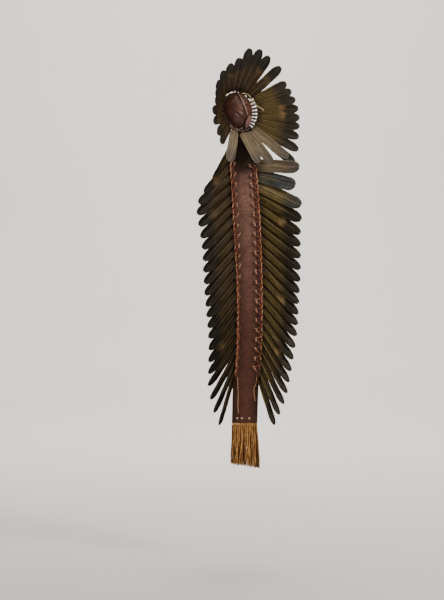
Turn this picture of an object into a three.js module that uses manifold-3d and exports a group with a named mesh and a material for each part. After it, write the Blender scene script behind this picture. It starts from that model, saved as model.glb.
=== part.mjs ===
// A feathered headdress with one long trail, as cast and painted for a figure a third of life size.
// Millimetres, +Z up, +Y towards the wearer's front. The origin is the centre of the cap's rim,
// where the cap sits on the head. The head is turned left and thrown back, so the cap's crown
// faces back and to the right, and the feathers stand round it in a wide open cone.

import * as THREE from 'three';
import { mergeVertices } from 'three/addons/utils/BufferGeometryUtils.js';
import Module from 'manifold-3d';

const wasm = await Module();
wasm.setup();

// Gap between pieces that touch on the real headdress
const seatGap = 0.3;

// Cap
const capRadius = 27.5;
const capNarrow = 0.89;
const capHeight = 20;
const capSkirt = 12;
const capWall = 1.5;
const capYaw = 32;
const capPitch = 15;
const capFoldHeight = 1.2;
const capFoldFade = 0.12;
const capSides = 32;
const capLatitudes = [12, 25, 38, 50, 61, 71, 80];

// Crown feathers
const crownFeatherLength = 66;
const crownFeatherWidth = 14.5;
const crownStub = 8.5;
const crownQuill = 1.7;
const crownLean = 35;
const crownBow = 3.2;

// Feathers of the trail
const trailFeatherLength = 79;
const trailFeatherWidth = 13.4;
const trailFeatherCount = 22;
const trailStub = 2;
const trailQuill = 1.5;
const trailInset = 0.9;
const trailBow = 2.4;

// How far a vane's edges drop behind its quill, and how thick the quill is at the tip
const vaneCamber = 1.1;
const quillTip = 0.6;

// Trail band
const bandWidth = 39;
const bandThickness = 1.8;
const bandTop = -30.4;
const bandLength = 437;
const bandSway = 20;
const bandRoundness = 3;
const bandSides = [-1, -0.72, -0.4, 0, 0.4, 0.72, 1];

// Hem strip that carries each row of feathers, and the thong that laces it to the band
const hemWidth = 7.4;
const hemThickness = 1.5;
const hemOverhang = 1.6;
const leftHemDrop = 33;
const rightHemDrop = 51;
const hemFoot = 367;
const hemEnd = 3;
const thongDiameter = 1.6;
const thongInset = 3;
const leftThongSpread = 4.6;
const rightThongSpread = 7.6;
const leftThongEnd = 7.6;
const rightThongEnd = 5.4;
const rungTop = 0.1;
const rungFoot = 0.7;
const thongSides = 5;

// Loose ends of the thongs
const tailDiameter = 1.1;
const tailSides = 8;
const leftTailLength = 54;
const rightTailLength = 36;

// Studs at the foot of the band
const studRadius = 1.6;
const studHeight = 1.1;
const studRise = 7;
const studSides = 10;

// Fringe under the band
const fringeLength = 70;
const fringeThickness = 5.5;
const fringeHeader = 7;
const fringeHeaderTop = 0.8;
const fringeLocks = 9;
const fringeFlare = 3;
const fringeCentre = 0.4;
const fringeSway = 0.12;
const fringeSlant = 0.085;
const fringeStagger = 0.035;
const fringeWave = 2.3;

// Rods over the cap, and the pad at the end of one of them
const rodDiameter = 1.9;
const quillRodDiameter = 2.1;
const rodSides = 8;
const padWidth = 12.5;
const padLength = 20;
const padThickness = 3.4;

// The fans of the crown: turn is in degrees from the top, clockwise seen from behind, twist turns
// the vanes about their quills, stub is a share of crownStub and rise is a share of crownQuill
// that the quills are set in front of the cap's rim
const crownFans = [
  { name: 'left', from: -140, to: -62, count: 7, twist: -24, stub: 0.55, rise: 0 },
  { name: 'crest', from: -44, to: -4, count: 3, twist: -20, stub: 0.55, rise: 0 },
  { name: 'top', from: 10, to: 32, count: 3, twist: -15, stub: 0.65, rise: 0 },
  { name: 'lone', from: 49, to: 49, count: 1, twist: -5, stub: 0.9, rise: 0 },
  { name: 'right', from: 66, to: 114, count: 6, twist: 15, stub: 1, rise: 0 },
  { name: 'low', from: 124, to: 143, count: 3, twist: 24, stub: 1.1, rise: 0 },
  { name: 'nape', from: 149, to: 202, count: 4, twist: 15, stub: 1.2, rise: 1.8 },
];

// Feather length round the crown, as a share, the cone's lean, as a share of crownLean, and how
// many degrees a feather veers clockwise
const crownReach = [
  { turn: -140, reach: 0.95, lean: 0.86, veer: 5 },
  { turn: -127, reach: 0.95, lean: 1, veer: 0 },
  { turn: -114, reach: 0.95, lean: 1.14, veer: 0 },
  { turn: -101, reach: 0.9, lean: 1.27, veer: 0 },
  { turn: -88, reach: 0.86, lean: 1.46, veer: 0 },
  { turn: -75, reach: 0.82, lean: 1.5, veer: 0 },
  { turn: -24, reach: 0.8, lean: 1.4, veer: 0 },
  { turn: -4, reach: 0.82, lean: 1.18, veer: 0 },
  { turn: 10, reach: 1.05, lean: 1, veer: 0 },
  { turn: 21, reach: 1.11, lean: 1, veer: 0 },
  { turn: 32, reach: 1.08, lean: 1, veer: 0 },
  { turn: 49, reach: 1.08, lean: 1, veer: 0 },
  { turn: 66, reach: 0.98, lean: 1, veer: 0 },
  { turn: 95, reach: 1.08, lean: 1, veer: 0 },
  { turn: 114, reach: 1.13, lean: 1, veer: 0 },
  { turn: 124, reach: 1.18, lean: 0.92, veer: 0 },
  { turn: 143, reach: 1.4, lean: 0.62, veer: 0 },
  { turn: 149, reach: 1.2, lean: 0.68, veer: -5.5 },
  { turn: 167, reach: 1.1, lean: 0.66, veer: -6 },
  { turn: 184, reach: 0.99, lean: 0.62, veer: -14 },
  { turn: 202, reach: 1.16, lean: 0.6, veer: 8 },
];

// A vane's width from where it leaves the bare quill to its tip, in shares
const vaneOutline = [
  { along: 0.035, width: 0.52 },
  { along: 0.13, width: 0.86 },
  { along: 0.35, width: 0.95 },
  { along: 0.62, width: 1 },
  { along: 0.82, width: 0.97 },
  { along: 0.92, width: 0.8 },
  { along: 0.975, width: 0.5 },
  { along: 1, width: 0.12 },
];

// Sections of the band: drop is a share of its length, offset of its width and depth of bandSway
const bandSections = [
  { drop: 0, offset: 0.17, depth: 0, width: 0.72, round: 1.5 },
  { drop: 0.05, offset: 0.175, depth: 0.4, width: 0.86, round: 1.2 },
  { drop: 0.12, offset: 0.235, depth: 0.68, width: 0.96, round: 1 },
  { drop: 0.24, offset: 0.33, depth: 0.95, width: 1, round: 1 },
  { drop: 0.4, offset: 0.42, depth: 1, width: 1, round: 1.2 },
  { drop: 0.55, offset: 0.46, depth: 0.9, width: 1, round: 1.2 },
  { drop: 0.74, offset: 0.445, depth: 0.7, width: 1, round: 1 },
  { drop: 0.88, offset: 0.34, depth: 0.55, width: 0.99, round: 0.8 },
  { drop: 1, offset: 0.3, depth: 0.5, width: 0.98, round: 0.6 },
];

// The rows of trail feathers: down is a share of the hem's length, dip is the angle below level,
// forward is the lean towards the viewer, reach and width are shares of the feather's length and
// width, and twist turns the vane about its quill
const leftRow = [
  { down: 0, dip: 62, forward: 0.1, reach: 0.62, width: 1, twist: 15 },
  { down: 0.07, dip: 46, forward: 0.28, reach: 0.84, width: 1.1, twist: 15 },
  { down: 0.14, dip: 42, forward: 0.34, reach: 0.9, width: 1.1, twist: 15 },
  { down: 0.3, dip: 48, forward: 0.36, reach: 0.89, width: 1.05, twist: 16 },
  { down: 0.5, dip: 51, forward: 0.36, reach: 0.93, width: 1, twist: 20 },
  { down: 0.68, dip: 55, forward: 0.32, reach: 0.88, width: 1, twist: 28 },
  { down: 0.85, dip: 57, forward: 0.28, reach: 0.95, width: 0.95, twist: 44 },
  { down: 0.93, dip: 65, forward: 0.24, reach: 0.98, width: 0.9, twist: 50 },
  { down: 1, dip: 75, forward: 0.2, reach: 0.97, width: 0.8, twist: 56 },
];
const rightRow = [
  { down: 0, dip: 4, forward: 0.2, reach: 0.84, width: 1.25, twist: 15 },
  { down: 0.05, dip: 17, forward: 0.16, reach: 0.76, width: 1.2, twist: 15 },
  { down: 0.1, dip: 27, forward: 0.14, reach: 0.93, width: 1.3, twist: 15 },
  { down: 0.2, dip: 36, forward: 0.14, reach: 0.95, width: 1.15, twist: 15 },
  { down: 0.4, dip: 44, forward: 0.14, reach: 1, width: 1.05, twist: 16 },
  { down: 0.6, dip: 49, forward: 0.14, reach: 0.99, width: 1, twist: 20 },
  { down: 0.76, dip: 58, forward: 0.16, reach: 1.01, width: 0.95, twist: 32 },
  { down: 0.88, dip: 64, forward: 0.18, reach: 1.01, width: 0.9, twist: 40 },
  { down: 1, dip: 74, forward: 0.2, reach: 0.97, width: 0.9, twist: 45 },
];

// Soft folds of the cap: a ridge from one place to another, in shares of the cap's radius
const capFolds = [
  { fromAcross: -0.3, fromUp: 0.18, toAcross: 0.75, toUp: 0.1, width: 0.1, height: 0.9 },
  { fromAcross: -0.1, fromUp: 0.45, toAcross: 0.7, toUp: 0.34, width: 0.1, height: 0.8 },
  { fromAcross: -0.5, fromUp: 0.05, toAcross: 0.15, toUp: -0.3, width: 0.13, height: 1 },
  { fromAcross: -0.55, fromUp: -0.4, toAcross: 0.3, toUp: -0.62, width: 0.12, height: 0.6 },
  { fromAcross: -0.7, fromUp: 0.35, toAcross: -0.2, toUp: 0.7, width: 0.11, height: 0.7 },
];

// Routes of the rods over the cap, in shares of its radius, with their lift off it in millimetres
const knobbedRoute = [
  { across: -0.15, up: 0.9, lift: 1.6 },
  { across: -0.14, up: 0.55, lift: 1.6 },
  { across: -0.09, up: 0.15, lift: 1.6 },
  { across: 0.02, up: -0.18, lift: 1.6 },
  { across: 0.18, up: -0.49, lift: 1.7 },
];
const quillRoute = [
  { across: 0.2, up: 0.82, lift: 1.4 },
  { across: 0.42, up: 0.8, lift: 3.6 },
  { across: 0.64, up: 0.66, lift: 6.5 },
  { across: 1, up: 0.28, lift: 11 },
  { across: 1.5, up: -0.16, lift: 16 },
];
const padPlace = { across: 0.33, up: -0.74 };
const padStep = 0.12;

// Routes of the loose ends below their laces: side is a share of the band's half width, fall a
// share of the tail's length
const leftTailRoute = [
  { side: -0.64, fall: 0.17 },
  { side: -0.6, fall: 0.34 },
  { side: -0.56, fall: 0.55 },
  { side: -0.58, fall: 0.78 },
  { side: -0.5, fall: 1 },
];
const rightTailRoute = [
  { side: 0.76, fall: 0.3 },
  { side: 0.65, fall: 0.46 },
  { side: 0.65, fall: 0.64 },
  { side: 0.71, fall: 0.82 },
  { side: 0.77, fall: 1 },
];

// Studs along the foot of the band, in shares of its half width
const studPlaces = [
  { name: 'stud_left', side: -0.6 },
  { name: 'stud_middle', side: -0.24 },
  { name: 'stud_right', side: 0.34 },
];

// Half a stud from its seat to its crown, in shares of its radius and height
const studProfile = [
  { out: 0, rise: 0 },
  { out: 1, rise: 0 },
  { out: 0.86, rise: 0.55 },
  { out: 0.5, rise: 0.9 },
  { out: 0, rise: 1 },
];

// Each lock of the fringe: how far down, in shares of its length, how wide, in shares of the
// space between locks, and how thick, in shares of the fringe's thickness
const lockSections = [
  { share: 0, width: 0.8, thick: 0.8 },
  { share: 0.3, width: 0.86, thick: 0.95 },
  { share: 0.7, width: 0.84, thick: 0.9 },
  { share: 1, width: 0.6, thick: 0.5 },
];

const finishes = {
  leather: { color: 0x4e2c22, roughness: 0.38, metalness: 0.25 },
  band: { color: 0x633c34, roughness: 0.45, metalness: 0.2 },
  feather: { color: 0x5a4a26, roughness: 0.5, metalness: 0.3 },
  napeFeather: { color: 0x94866c, roughness: 0.5, metalness: 0.2 },
  thong: { color: 0xb8703c, roughness: 0.5, metalness: 0.1 },
  stud: { color: 0xd8b0a0, roughness: 0.3, metalness: 0.5 },
  fringe: { color: 0xb8864a, roughness: 0.7, metalness: 0 },
  rod: { color: 0xa08070, roughness: 0.5, metalness: 0.1 },
  quillRod: { color: 0xa89a70, roughness: 0.5, metalness: 0.1 },
  pad: { color: 0x8a6460, roughness: 0.35, metalness: 0.2 },
};

const group = new THREE.Group();

function addPiece(name, geometry, finish) {
  const mesh = new THREE.Mesh(geometry, new THREE.MeshStandardMaterial(finish));
  mesh.name = name;
  group.add(mesh);
  return mesh;
}

// Value of one column of a table at a place between its rows
function fromTable(rows, key, place, column) {
  if (place <= rows[0][key]) return rows[0][column];
  for (let i = 1; i < rows.length; i += 1) {
    const low = rows[i - 1];
    const high = rows[i];
    if (place <= high[key]) {
      const share = (place - low[key]) / (high[key] - low[key]);
      return THREE.MathUtils.lerp(low[column], high[column], share);
    }
  }
  return rows[rows.length - 1][column];
}

// The cap's own directions: its crown points along capAxis
const yaw = THREE.MathUtils.degToRad(capYaw);
const pitch = THREE.MathUtils.degToRad(capPitch);
const capAxis = new THREE.Vector3(
  Math.sin(yaw) * Math.cos(pitch),
  -Math.cos(yaw) * Math.cos(pitch),
  Math.sin(pitch),
);
const capAcross = new THREE.Vector3(Math.cos(yaw), Math.sin(yaw), 0);
const capUp = new THREE.Vector3().crossVectors(capAcross, capAxis).negate();

function radialAt(turn) {
  const angle = THREE.MathUtils.degToRad(turn);
  return new THREE.Vector3()
    .addScaledVector(capUp, Math.cos(angle))
    .addScaledVector(capAcross, Math.sin(angle));
}

// A point of the cap's rim, or of a smaller one inside it
function rimAt(turn, inset) {
  const angle = THREE.MathUtils.degToRad(turn);
  return new THREE.Vector3()
    .addScaledVector(capUp, (capRadius - inset) * Math.cos(angle))
    .addScaledVector(capAcross, (capRadius * capNarrow - inset) * Math.sin(angle));
}

// A closed body through rings of points, all with the same even count. Each end is capped by a
// strip between the ring's first half and its second, so a thin curved section caps cleanly.
function loft(rings) {
  const count = rings[0].length;
  const positions = rings.flat().flatMap((point) => [point.x, point.y, point.z]);
  const faces = [];
  for (let ring = 0; ring < rings.length - 1; ring += 1) {
    for (let i = 0; i < count; i += 1) {
      const a = ring * count + i;
      const b = ring * count + ((i + 1) % count);
      faces.push(a, b, b + count, a, b + count, a + count);
    }
  }
  const last = (rings.length - 1) * count;
  for (let i = 0; i < count / 2 - 1; i += 1) {
    const across = count - 1 - i;
    faces.push(i, across, i + 1, i + 1, across, across - 1);
    faces.push(last + i, last + i + 1, last + across, last + i + 1, last + across - 1, last + across);
  }
  return facedOutwards(positions, faces);
}

// Turns every face round where the body would otherwise be inside out
function facedOutwards(positions, faces) {
  const point = (index) => new THREE.Vector3().fromArray(positions, index * 3);
  let volume = 0;
  for (let i = 0; i < faces.length; i += 3) {
    const normal = new THREE.Vector3().crossVectors(point(faces[i + 1]), point(faces[i + 2]));
    volume += point(faces[i]).dot(normal);
  }
  const geometry = new THREE.BufferGeometry();
  geometry.setAttribute('position', new THREE.Float32BufferAttribute(positions, 3));
  geometry.setIndex(volume < 0 ? faces.toReversed() : faces);
  return geometry;
}

function toSolid(geometry) {
  const bare = geometry.clone();
  bare.deleteAttribute('normal');
  bare.deleteAttribute('uv');
  const merged = mergeVertices(bare);
  return new wasm.Manifold(new wasm.Mesh({
    numProp: 3,
    vertProperties: new Float32Array(merged.getAttribute('position').array),
    triVerts: new Uint32Array(merged.getIndex().array),
  }));
}

function fuse(geometries) {
  const solid = geometries.map(toSolid).reduce((whole, next) => whole.add(next));
  const mesh = solid.getMesh();
  const geometry = new THREE.BufferGeometry();
  geometry.setAttribute('position', new THREE.BufferAttribute(mesh.vertProperties, 3));
  geometry.setIndex(new THREE.BufferAttribute(mesh.triVerts, 1));
  return geometry;
}

function cord(points, diameter, sides, steps) {
  const outline = new THREE.Shape();
  for (let i = 0; i < sides; i += 1) {
    const angle = (2 * Math.PI * i) / sides;
    const place = [Math.cos(angle) * diameter / 2, Math.sin(angle) * diameter / 2];
    if (i === 0) outline.moveTo(...place);
    else outline.lineTo(...place);
  }
  const path = new THREE.CatmullRomCurve3(points, false, 'centripetal');
  return new THREE.ExtrudeGeometry(outline, { steps, extrudePath: path, bevelEnabled: false });
}

// One feather: a bare quill stub, then a cambered vane with a rounded tip. along is its
// direction, across the vane's width and out the side that its quill stands up on.
function featherGeometry(root, along, across, sizes) {
  const out = new THREE.Vector3().crossVectors(along, across).normalize();
  const vane = sizes.length - sizes.stub;
  const ring = (distance, half, thick, camber) => {
    const bow = sizes.bow * (distance / sizes.length) ** 2;
    const centre = root.clone().addScaledVector(along, distance).addScaledVector(out, bow);
    const edge = (side) => centre.clone()
      .addScaledVector(across, side * half)
      .addScaledVector(out, -camber);
    return [
      centre.clone().addScaledVector(out, thick),
      edge(1),
      centre.clone().addScaledVector(out, -thick),
      edge(-1),
    ];
  };
  const rings = [
    ring(0, sizes.quill / 2, sizes.quill / 2, 0),
    ring(sizes.stub, sizes.quill / 2, sizes.quill / 2, 0),
  ];
  for (const row of vaneOutline) {
    const thick = THREE.MathUtils.lerp(sizes.quill, quillTip, row.along) / 2;
    const half = (row.width * sizes.width) / 2;
    rings.push(ring(sizes.stub + row.along * vane, half, thick, row.width * sizes.camber));
  }
  return loft(rings);
}

// Cap

function capRise(across, up) {
  let rise = 0;
  for (const fold of capFolds) {
    const run = new THREE.Vector2(fold.toAcross - fold.fromAcross, fold.toUp - fold.fromUp);
    const from = new THREE.Vector2(across - fold.fromAcross, up - fold.fromUp);
    const share = THREE.MathUtils.clamp(from.dot(run) / run.lengthSq(), 0, 1);
    const distance = from.addScaledVector(run, -share).length();
    const along = THREE.MathUtils.clamp(share, capFoldFade, 1 - capFoldFade);
    const fade = Math.sin(Math.PI * along);
    rise += fold.height * fade * Math.exp(-((distance / fold.width) ** 2));
  }
  return capFoldHeight * rise;
}

// A point of the dome at a latitude, in degrees up from the rim, on a skin inset from the outside
function domePoint(turn, latitude, inset) {
  const angle = THREE.MathUtils.degToRad(latitude);
  const radial = radialAt(turn);
  const share = Math.cos(angle);
  const across = share * radial.dot(capAcross);
  const up = share * radial.dot(capUp);
  return new THREE.Vector3()
    .addScaledVector(rimAt(turn, inset), share)
    .addScaledVector(capAxis, (capHeight - inset) * Math.sin(angle) + capRise(across, up));
}

// A point over the cap's outside, given in shares of its radius, lifted off it along its axis
function overCap(across, up, lift) {
  const share = Math.min(Math.hypot(across, up), 1);
  const height = capHeight * Math.sqrt(1 - share ** 2) + capRise(across, up) + lift;
  return new THREE.Vector3()
    .addScaledVector(capAcross, across * capRadius * capNarrow)
    .addScaledVector(capUp, up * capRadius)
    .addScaledVector(capAxis, height);
}

function buildCap() {
  const rings = [];
  const skin = (inset) => {
    const rows = [-capSkirt, -capSkirt / 2, 0].map((height) => (turn) => (
      rimAt(turn, inset).addScaledVector(capAxis, height)
    ));
    return rows.concat(capLatitudes.map((latitude) => (turn) => domePoint(turn, latitude, inset)));
  };
  const places = [...skin(capWall).reverse(), ...skin(0)];
  for (const place of places) {
    rings.push(Array.from({ length: capSides }, (_, i) => place((360 * i) / capSides)));
  }
  return loft(rings);
}

// Crown

function crownFeather(turn, fan) {
  const column = (name) => fromTable(crownReach, 'turn', turn, name);
  const lean = THREE.MathUtils.degToRad(crownLean * column('lean'));
  const level = radialAt(turn + column('veer'));
  const along = level.clone().multiplyScalar(Math.cos(lean))
    .addScaledVector(capAxis, Math.sin(lean));
  const around = new THREE.Vector3().crossVectors(capAxis, level).negate();
  const across = around.applyAxisAngle(along, THREE.MathUtils.degToRad(fan.twist));
  const root = rimAt(turn, 0)
    .addScaledVector(radialAt(turn), seatGap + (crownQuill / 2) * Math.sin(lean))
    .addScaledVector(capAxis, fan.rise * crownQuill);
  return featherGeometry(root, along, across, {
    length: crownFeatherLength * column('reach'),
    width: crownFeatherWidth,
    stub: crownStub * fan.stub,
    quill: crownQuill,
    bow: crownBow,
    camber: vaneCamber,
  });
}

function buildCrown() {
  for (const fan of crownFans) {
    const finish = fan.name === 'nape' ? finishes.napeFeather : finishes.feather;
    for (let i = 0; i < fan.count; i += 1) {
      const turn = fan.count > 1 ? fan.from + ((fan.to - fan.from) * i) / (fan.count - 1) : fan.from;
      addPiece(`feather_${fan.name}_${i + 1}`, crownFeather(turn, fan), finish);
    }
  }
}

// Trail band

// A point on the band's front: drop is a share of its length, side goes from -1 to 1 across it,
// and lift is the distance from the front face towards the viewer
function onBand(drop, side, lift) {
  const row = (column) => fromTable(bandSections, 'drop', drop, column);
  const half = (bandWidth * row('width')) / 2;
  return new THREE.Vector3(
    bandWidth * row('offset') + side * half,
    -bandSway * row('depth') + bandRoundness * row('round') * side ** 2 - lift,
    bandTop - drop * bandLength,
  );
}

// The drops of the band's rings: each row of its table, and a place midway to the next
const bandDrops = bandSections.flatMap((row, i) => (
  i === 0 ? [row.drop] : [(bandSections[i - 1].drop + row.drop) / 2, row.drop]
));

function buildBand() {
  const rings = bandDrops.map((drop) => [
    ...bandSides.map((side) => onBand(drop, side, 0)),
    ...bandSides.toReversed().map((side) => onBand(drop, side, -bandThickness)),
  ]);
  return loft(rings);
}

// The band's drop at a share of the way from a hem's first feather to its last
function hemDropAt(direction, down) {
  const first = direction < 0 ? leftHemDrop : rightHemDrop;
  return THREE.MathUtils.lerp(first, hemFoot, down) / bandLength;
}

// A point on a hem: inwards is the distance from its outer edge towards the band's middle
function onHem(direction, drop, inwards, lift) {
  const half = (bandWidth * fromTable(bandSections, 'drop', drop, 'width')) / 2;
  const side = (half + hemOverhang - inwards) / half;
  return onBand(drop, direction * side, seatGap + lift);
}

function buildRow(direction, rows) {
  const start = hemDropAt(direction, 0) - hemEnd / bandLength;
  const end = hemDropAt(direction, 1) + hemEnd / bandLength;
  const drops = [start, ...bandDrops.filter((drop) => drop > start && drop < end), end];
  const pieces = [loft(drops.map((drop) => [
    onHem(direction, drop, 0, 0),
    onHem(direction, drop, hemWidth, 0),
    onHem(direction, drop, hemWidth, hemThickness),
    onHem(direction, drop, 0, hemThickness),
  ]))];
  for (let i = 0; i < trailFeatherCount; i += 1) {
    const down = i / (trailFeatherCount - 1);
    const column = (name) => fromTable(rows, 'down', down, name);
    const dip = THREE.MathUtils.degToRad(column('dip'));
    const along = new THREE.Vector3(direction * Math.cos(dip), -column('forward'), -Math.sin(dip));
    along.normalize();
    const flat = new THREE.Vector3(0, -1, 0);
    const across = new THREE.Vector3().crossVectors(flat, along).multiplyScalar(direction).normalize();
    across.applyAxisAngle(along, -direction * THREE.MathUtils.degToRad(column('twist')));
    const root = onHem(direction, hemDropAt(direction, down), trailInset, hemThickness / 2);
    pieces.push(featherGeometry(root, along, across, {
      length: trailFeatherLength * column('reach'),
      width: trailFeatherWidth * column('width'),
      stub: trailStub,
      quill: trailQuill,
      bow: direction * trailBow,
      camber: direction * vaneCamber,
    }));
  }
  return fuse(pieces);
}

// A point of a lace at a share of the way down: at its inner bends or at its outer ones
function onLace(direction, down, inwards) {
  const lift = hemThickness + seatGap + thongDiameter / 2;
  return onHem(direction, hemDropAt(direction, down), inwards, lift);
}

// Zigzag thong over a hem: one slanted rung for each feather. endInset is where its end is.
function buildLace(direction, spread, endInset) {
  const points = [];
  for (let i = 0; i < trailFeatherCount; i += 1) {
    points.push(onLace(direction, (i + rungTop) / trailFeatherCount, thongInset + spread));
    points.push(onLace(direction, (i + rungFoot) / trailFeatherCount, thongInset));
  }
  points.push(onLace(direction, 1, endInset));
  return cord(points, thongDiameter, thongSides, points.length * 2);
}

// Loose end of a thong: it leaves the lace's end and lies down the band's face
function buildTail(direction, endInset, route, length) {
  const top = onLace(direction, 1, endInset);
  top.z -= thongDiameter / 2 + seatGap;
  const points = route.map((row) => {
    const drop = (bandTop - top.z + row.fall * length) / bandLength;
    return onBand(drop, row.side, seatGap + tailDiameter / 2);
  });
  return cord([top, ...points], tailDiameter, tailSides, 18);
}

function buildStud(side) {
  const profile = studProfile.map((row) => (
    new THREE.Vector2(row.out * studRadius, row.rise * studHeight)
  ));
  const geometry = new THREE.LatheGeometry(profile, studSides);
  geometry.rotateX(Math.PI);
  const place = onBand(1 - studRise / bandLength, side, seatGap);
  geometry.translate(place.x, place.y, place.z);
  return geometry;
}

function buildFringe() {
  const halfWidth = (bandWidth * fromTable(bandSections, 'drop', 1, 'width')) / 2;
  const foot = onBand(1, 0, 0);
  const top = foot.z - seatGap;
  const back = foot.y + fringeThickness / 2;
  const box = (left, right, z, thick, lean) => [
    new THREE.Vector3(foot.x + left, back + lean - thick / 2, z),
    new THREE.Vector3(foot.x + right, back + lean - thick / 2, z),
    new THREE.Vector3(foot.x + right, back + lean + thick / 2, z),
    new THREE.Vector3(foot.x + left, back + lean + thick / 2, z),
  ];
  const pieces = [loft([
    box(-halfWidth, halfWidth, top, fringeThickness * fringeHeaderTop, 0),
    box(-halfWidth, halfWidth, top - fringeHeader, fringeThickness, 0),
  ])];
  const pitchWidth = (2 * halfWidth) / fringeLocks;
  for (let i = 0; i < fringeLocks; i += 1) {
    const place = (i + 0.5) / fringeLocks;
    const middle = -halfWidth + place * 2 * halfWidth;
    const spread = (place - fringeCentre) * 2 * fringeFlare;
    const sway = Math.sin(i * fringeWave) * fringeThickness * fringeSway;
    const shorter = fringeSlant * (1 - place) + fringeStagger * (i % 2);
    const start = top - fringeHeader / 2;
    const drop = fringeLength * (1 - shorter) - fringeHeader / 2;
    pieces.push(loft(lockSections.map((row) => {
      const x = middle + spread * row.share;
      const half = (row.width * pitchWidth) / 2;
      const z = start - row.share * drop;
      return box(x - half, x + half, z, row.thick * fringeThickness, sway * row.share);
    })));
  }
  return fuse(pieces);
}

function buildRod(route, diameter) {
  const points = route.map((row) => overCap(row.across, row.up, row.lift + diameter / 2));
  return cord(points, diameter, rodSides, 16);
}

// Oval pad that follows the dome
function buildPad() {
  const place = overCap(padPlace.across, padPlace.up, 0);
  const beside = (across, up) => overCap(padPlace.across + across, padPlace.up + up, 0);
  const lengthways = beside(0, padStep).sub(beside(0, -padStep)).normalize();
  const sideways = beside(padStep, 0).sub(beside(-padStep, 0)).normalize();
  const out = new THREE.Vector3().crossVectors(sideways, lengthways).normalize();
  if (out.dot(capAxis) < 0) out.negate();
  const wide = new THREE.Vector3().crossVectors(lengthways, out);
  const geometry = new THREE.SphereGeometry(0.5, 12, 8);
  geometry.scale(padWidth, padLength, padThickness);
  geometry.applyMatrix4(new THREE.Matrix4().makeBasis(wide, lengthways, out));
  place.addScaledVector(out, padThickness / 2 + seatGap);
  geometry.translate(place.x, place.y, place.z);
  return geometry;
}

addPiece('cap', buildCap(), finishes.leather);
buildCrown();
addPiece('trail_band', buildBand(), finishes.band);
addPiece('feather_row_left', buildRow(-1, leftRow), finishes.feather);
addPiece('feather_row_right', buildRow(1, rightRow), finishes.feather);
addPiece('lace_left', buildLace(-1, leftThongSpread, leftThongEnd), finishes.thong);
addPiece('lace_right', buildLace(1, rightThongSpread, rightThongEnd), finishes.thong);
addPiece('lace_tail_left', buildTail(-1, leftThongEnd, leftTailRoute, leftTailLength), finishes.thong);
addPiece('lace_tail_right', buildTail(1, rightThongEnd, rightTailRoute, rightTailLength), finishes.thong);
for (const stud of studPlaces) {
  addPiece(stud.name, buildStud(stud.side), finishes.stud);
}
addPiece('fringe', buildFringe(), finishes.fringe);
addPiece('knobbed_rod', buildRod(knobbedRoute, rodDiameter), finishes.rod);
addPiece('rod_pad', buildPad(), finishes.pad);
addPiece('bare_quill', buildRod(quillRoute, quillRodDiameter), finishes.quillRod);

export default group;
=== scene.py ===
"""Looks of a feathered headdress with a long laced trail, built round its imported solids.

Lengths are metres in the part's own frame. The origin is the centre of the cap's rim, +Z is up
and +Y points to the wearer's front, so the camera behind the wearer looks along +Y.
"""

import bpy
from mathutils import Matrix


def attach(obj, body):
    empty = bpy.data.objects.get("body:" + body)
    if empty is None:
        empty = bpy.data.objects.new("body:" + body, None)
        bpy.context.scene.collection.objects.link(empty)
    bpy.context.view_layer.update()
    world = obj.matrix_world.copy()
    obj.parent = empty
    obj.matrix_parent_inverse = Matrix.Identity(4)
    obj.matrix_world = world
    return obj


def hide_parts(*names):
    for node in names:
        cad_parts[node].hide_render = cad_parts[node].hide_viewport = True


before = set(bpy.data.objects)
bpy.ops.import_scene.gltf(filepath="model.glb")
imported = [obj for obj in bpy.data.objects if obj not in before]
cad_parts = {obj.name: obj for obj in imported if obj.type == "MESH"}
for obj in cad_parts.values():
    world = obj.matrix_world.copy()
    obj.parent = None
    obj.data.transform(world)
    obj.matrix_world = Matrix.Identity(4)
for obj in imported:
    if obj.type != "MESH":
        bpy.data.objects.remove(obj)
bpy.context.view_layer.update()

import logging
import math
from dataclasses import dataclass, field
from enum import Enum
from typing import Sequence

import bpy
import numpy as np
from mathutils import Vector

Socket = bpy.types.NodeSocket
Material = bpy.types.Material
Colour = tuple[float, float, float]

LOG = logging.getLogger("headdress")
MM = 0.001
SEAT_GAP = 0.3 * MM
PLACE = "place"


class Side(Enum):
    """The two long sides of the trail, seen from behind."""

    LEFT = -1
    RIGHT = 1


class Plume(Enum):
    """The colourings of feather on the headdress; the two darker copies are painted shade."""

    DARK = "dark"
    NAPE = "nape"
    GREY = "grey"
    GOLD = "gold"
    CROWN_SHADE = "crown_shade"
    OLIVE = "olive"
    SHADED = "shaded"


# Small tools


def unit(vector: np.ndarray) -> np.ndarray:
    """Returns the vector at length one."""
    return vector / np.linalg.norm(vector)


def turned(vector: np.ndarray, axis: np.ndarray, angle: float) -> np.ndarray:
    """Turns a vector about an axis.

    Args:
        vector: what is turned.
        axis: unit vector to turn about, by the right-hand rule.
        angle: radians.

    Returns:
        The turned vector.
    """
    cos, sin = math.cos(angle), math.sin(angle)
    return vector * cos + np.cross(axis, vector) * sin + axis * (axis @ vector) * (1 - cos)


def ease(value: np.ndarray | float) -> np.ndarray | float:
    """Returns a smooth step of a value held between 0 and 1."""
    held = np.clip(value, 0.0, 1.0)
    return held * held * (3 - 2 * held)


def from_table(rows: Sequence, key: str, place: float, column: str) -> float:
    """Reads one column of a table of sections between its rows.

    Args:
        rows: the table's rows, in rising order of key.
        key: name of the column that says where each row is.
        place: where to read.
        column: name of the column to read.

    Returns:
        The value there, straight between the rows and held past the ends.
    """
    keys, values = ([getattr(row, name) for row in rows] for name in (key, column))
    return float(np.interp(place, keys, values))


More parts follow.
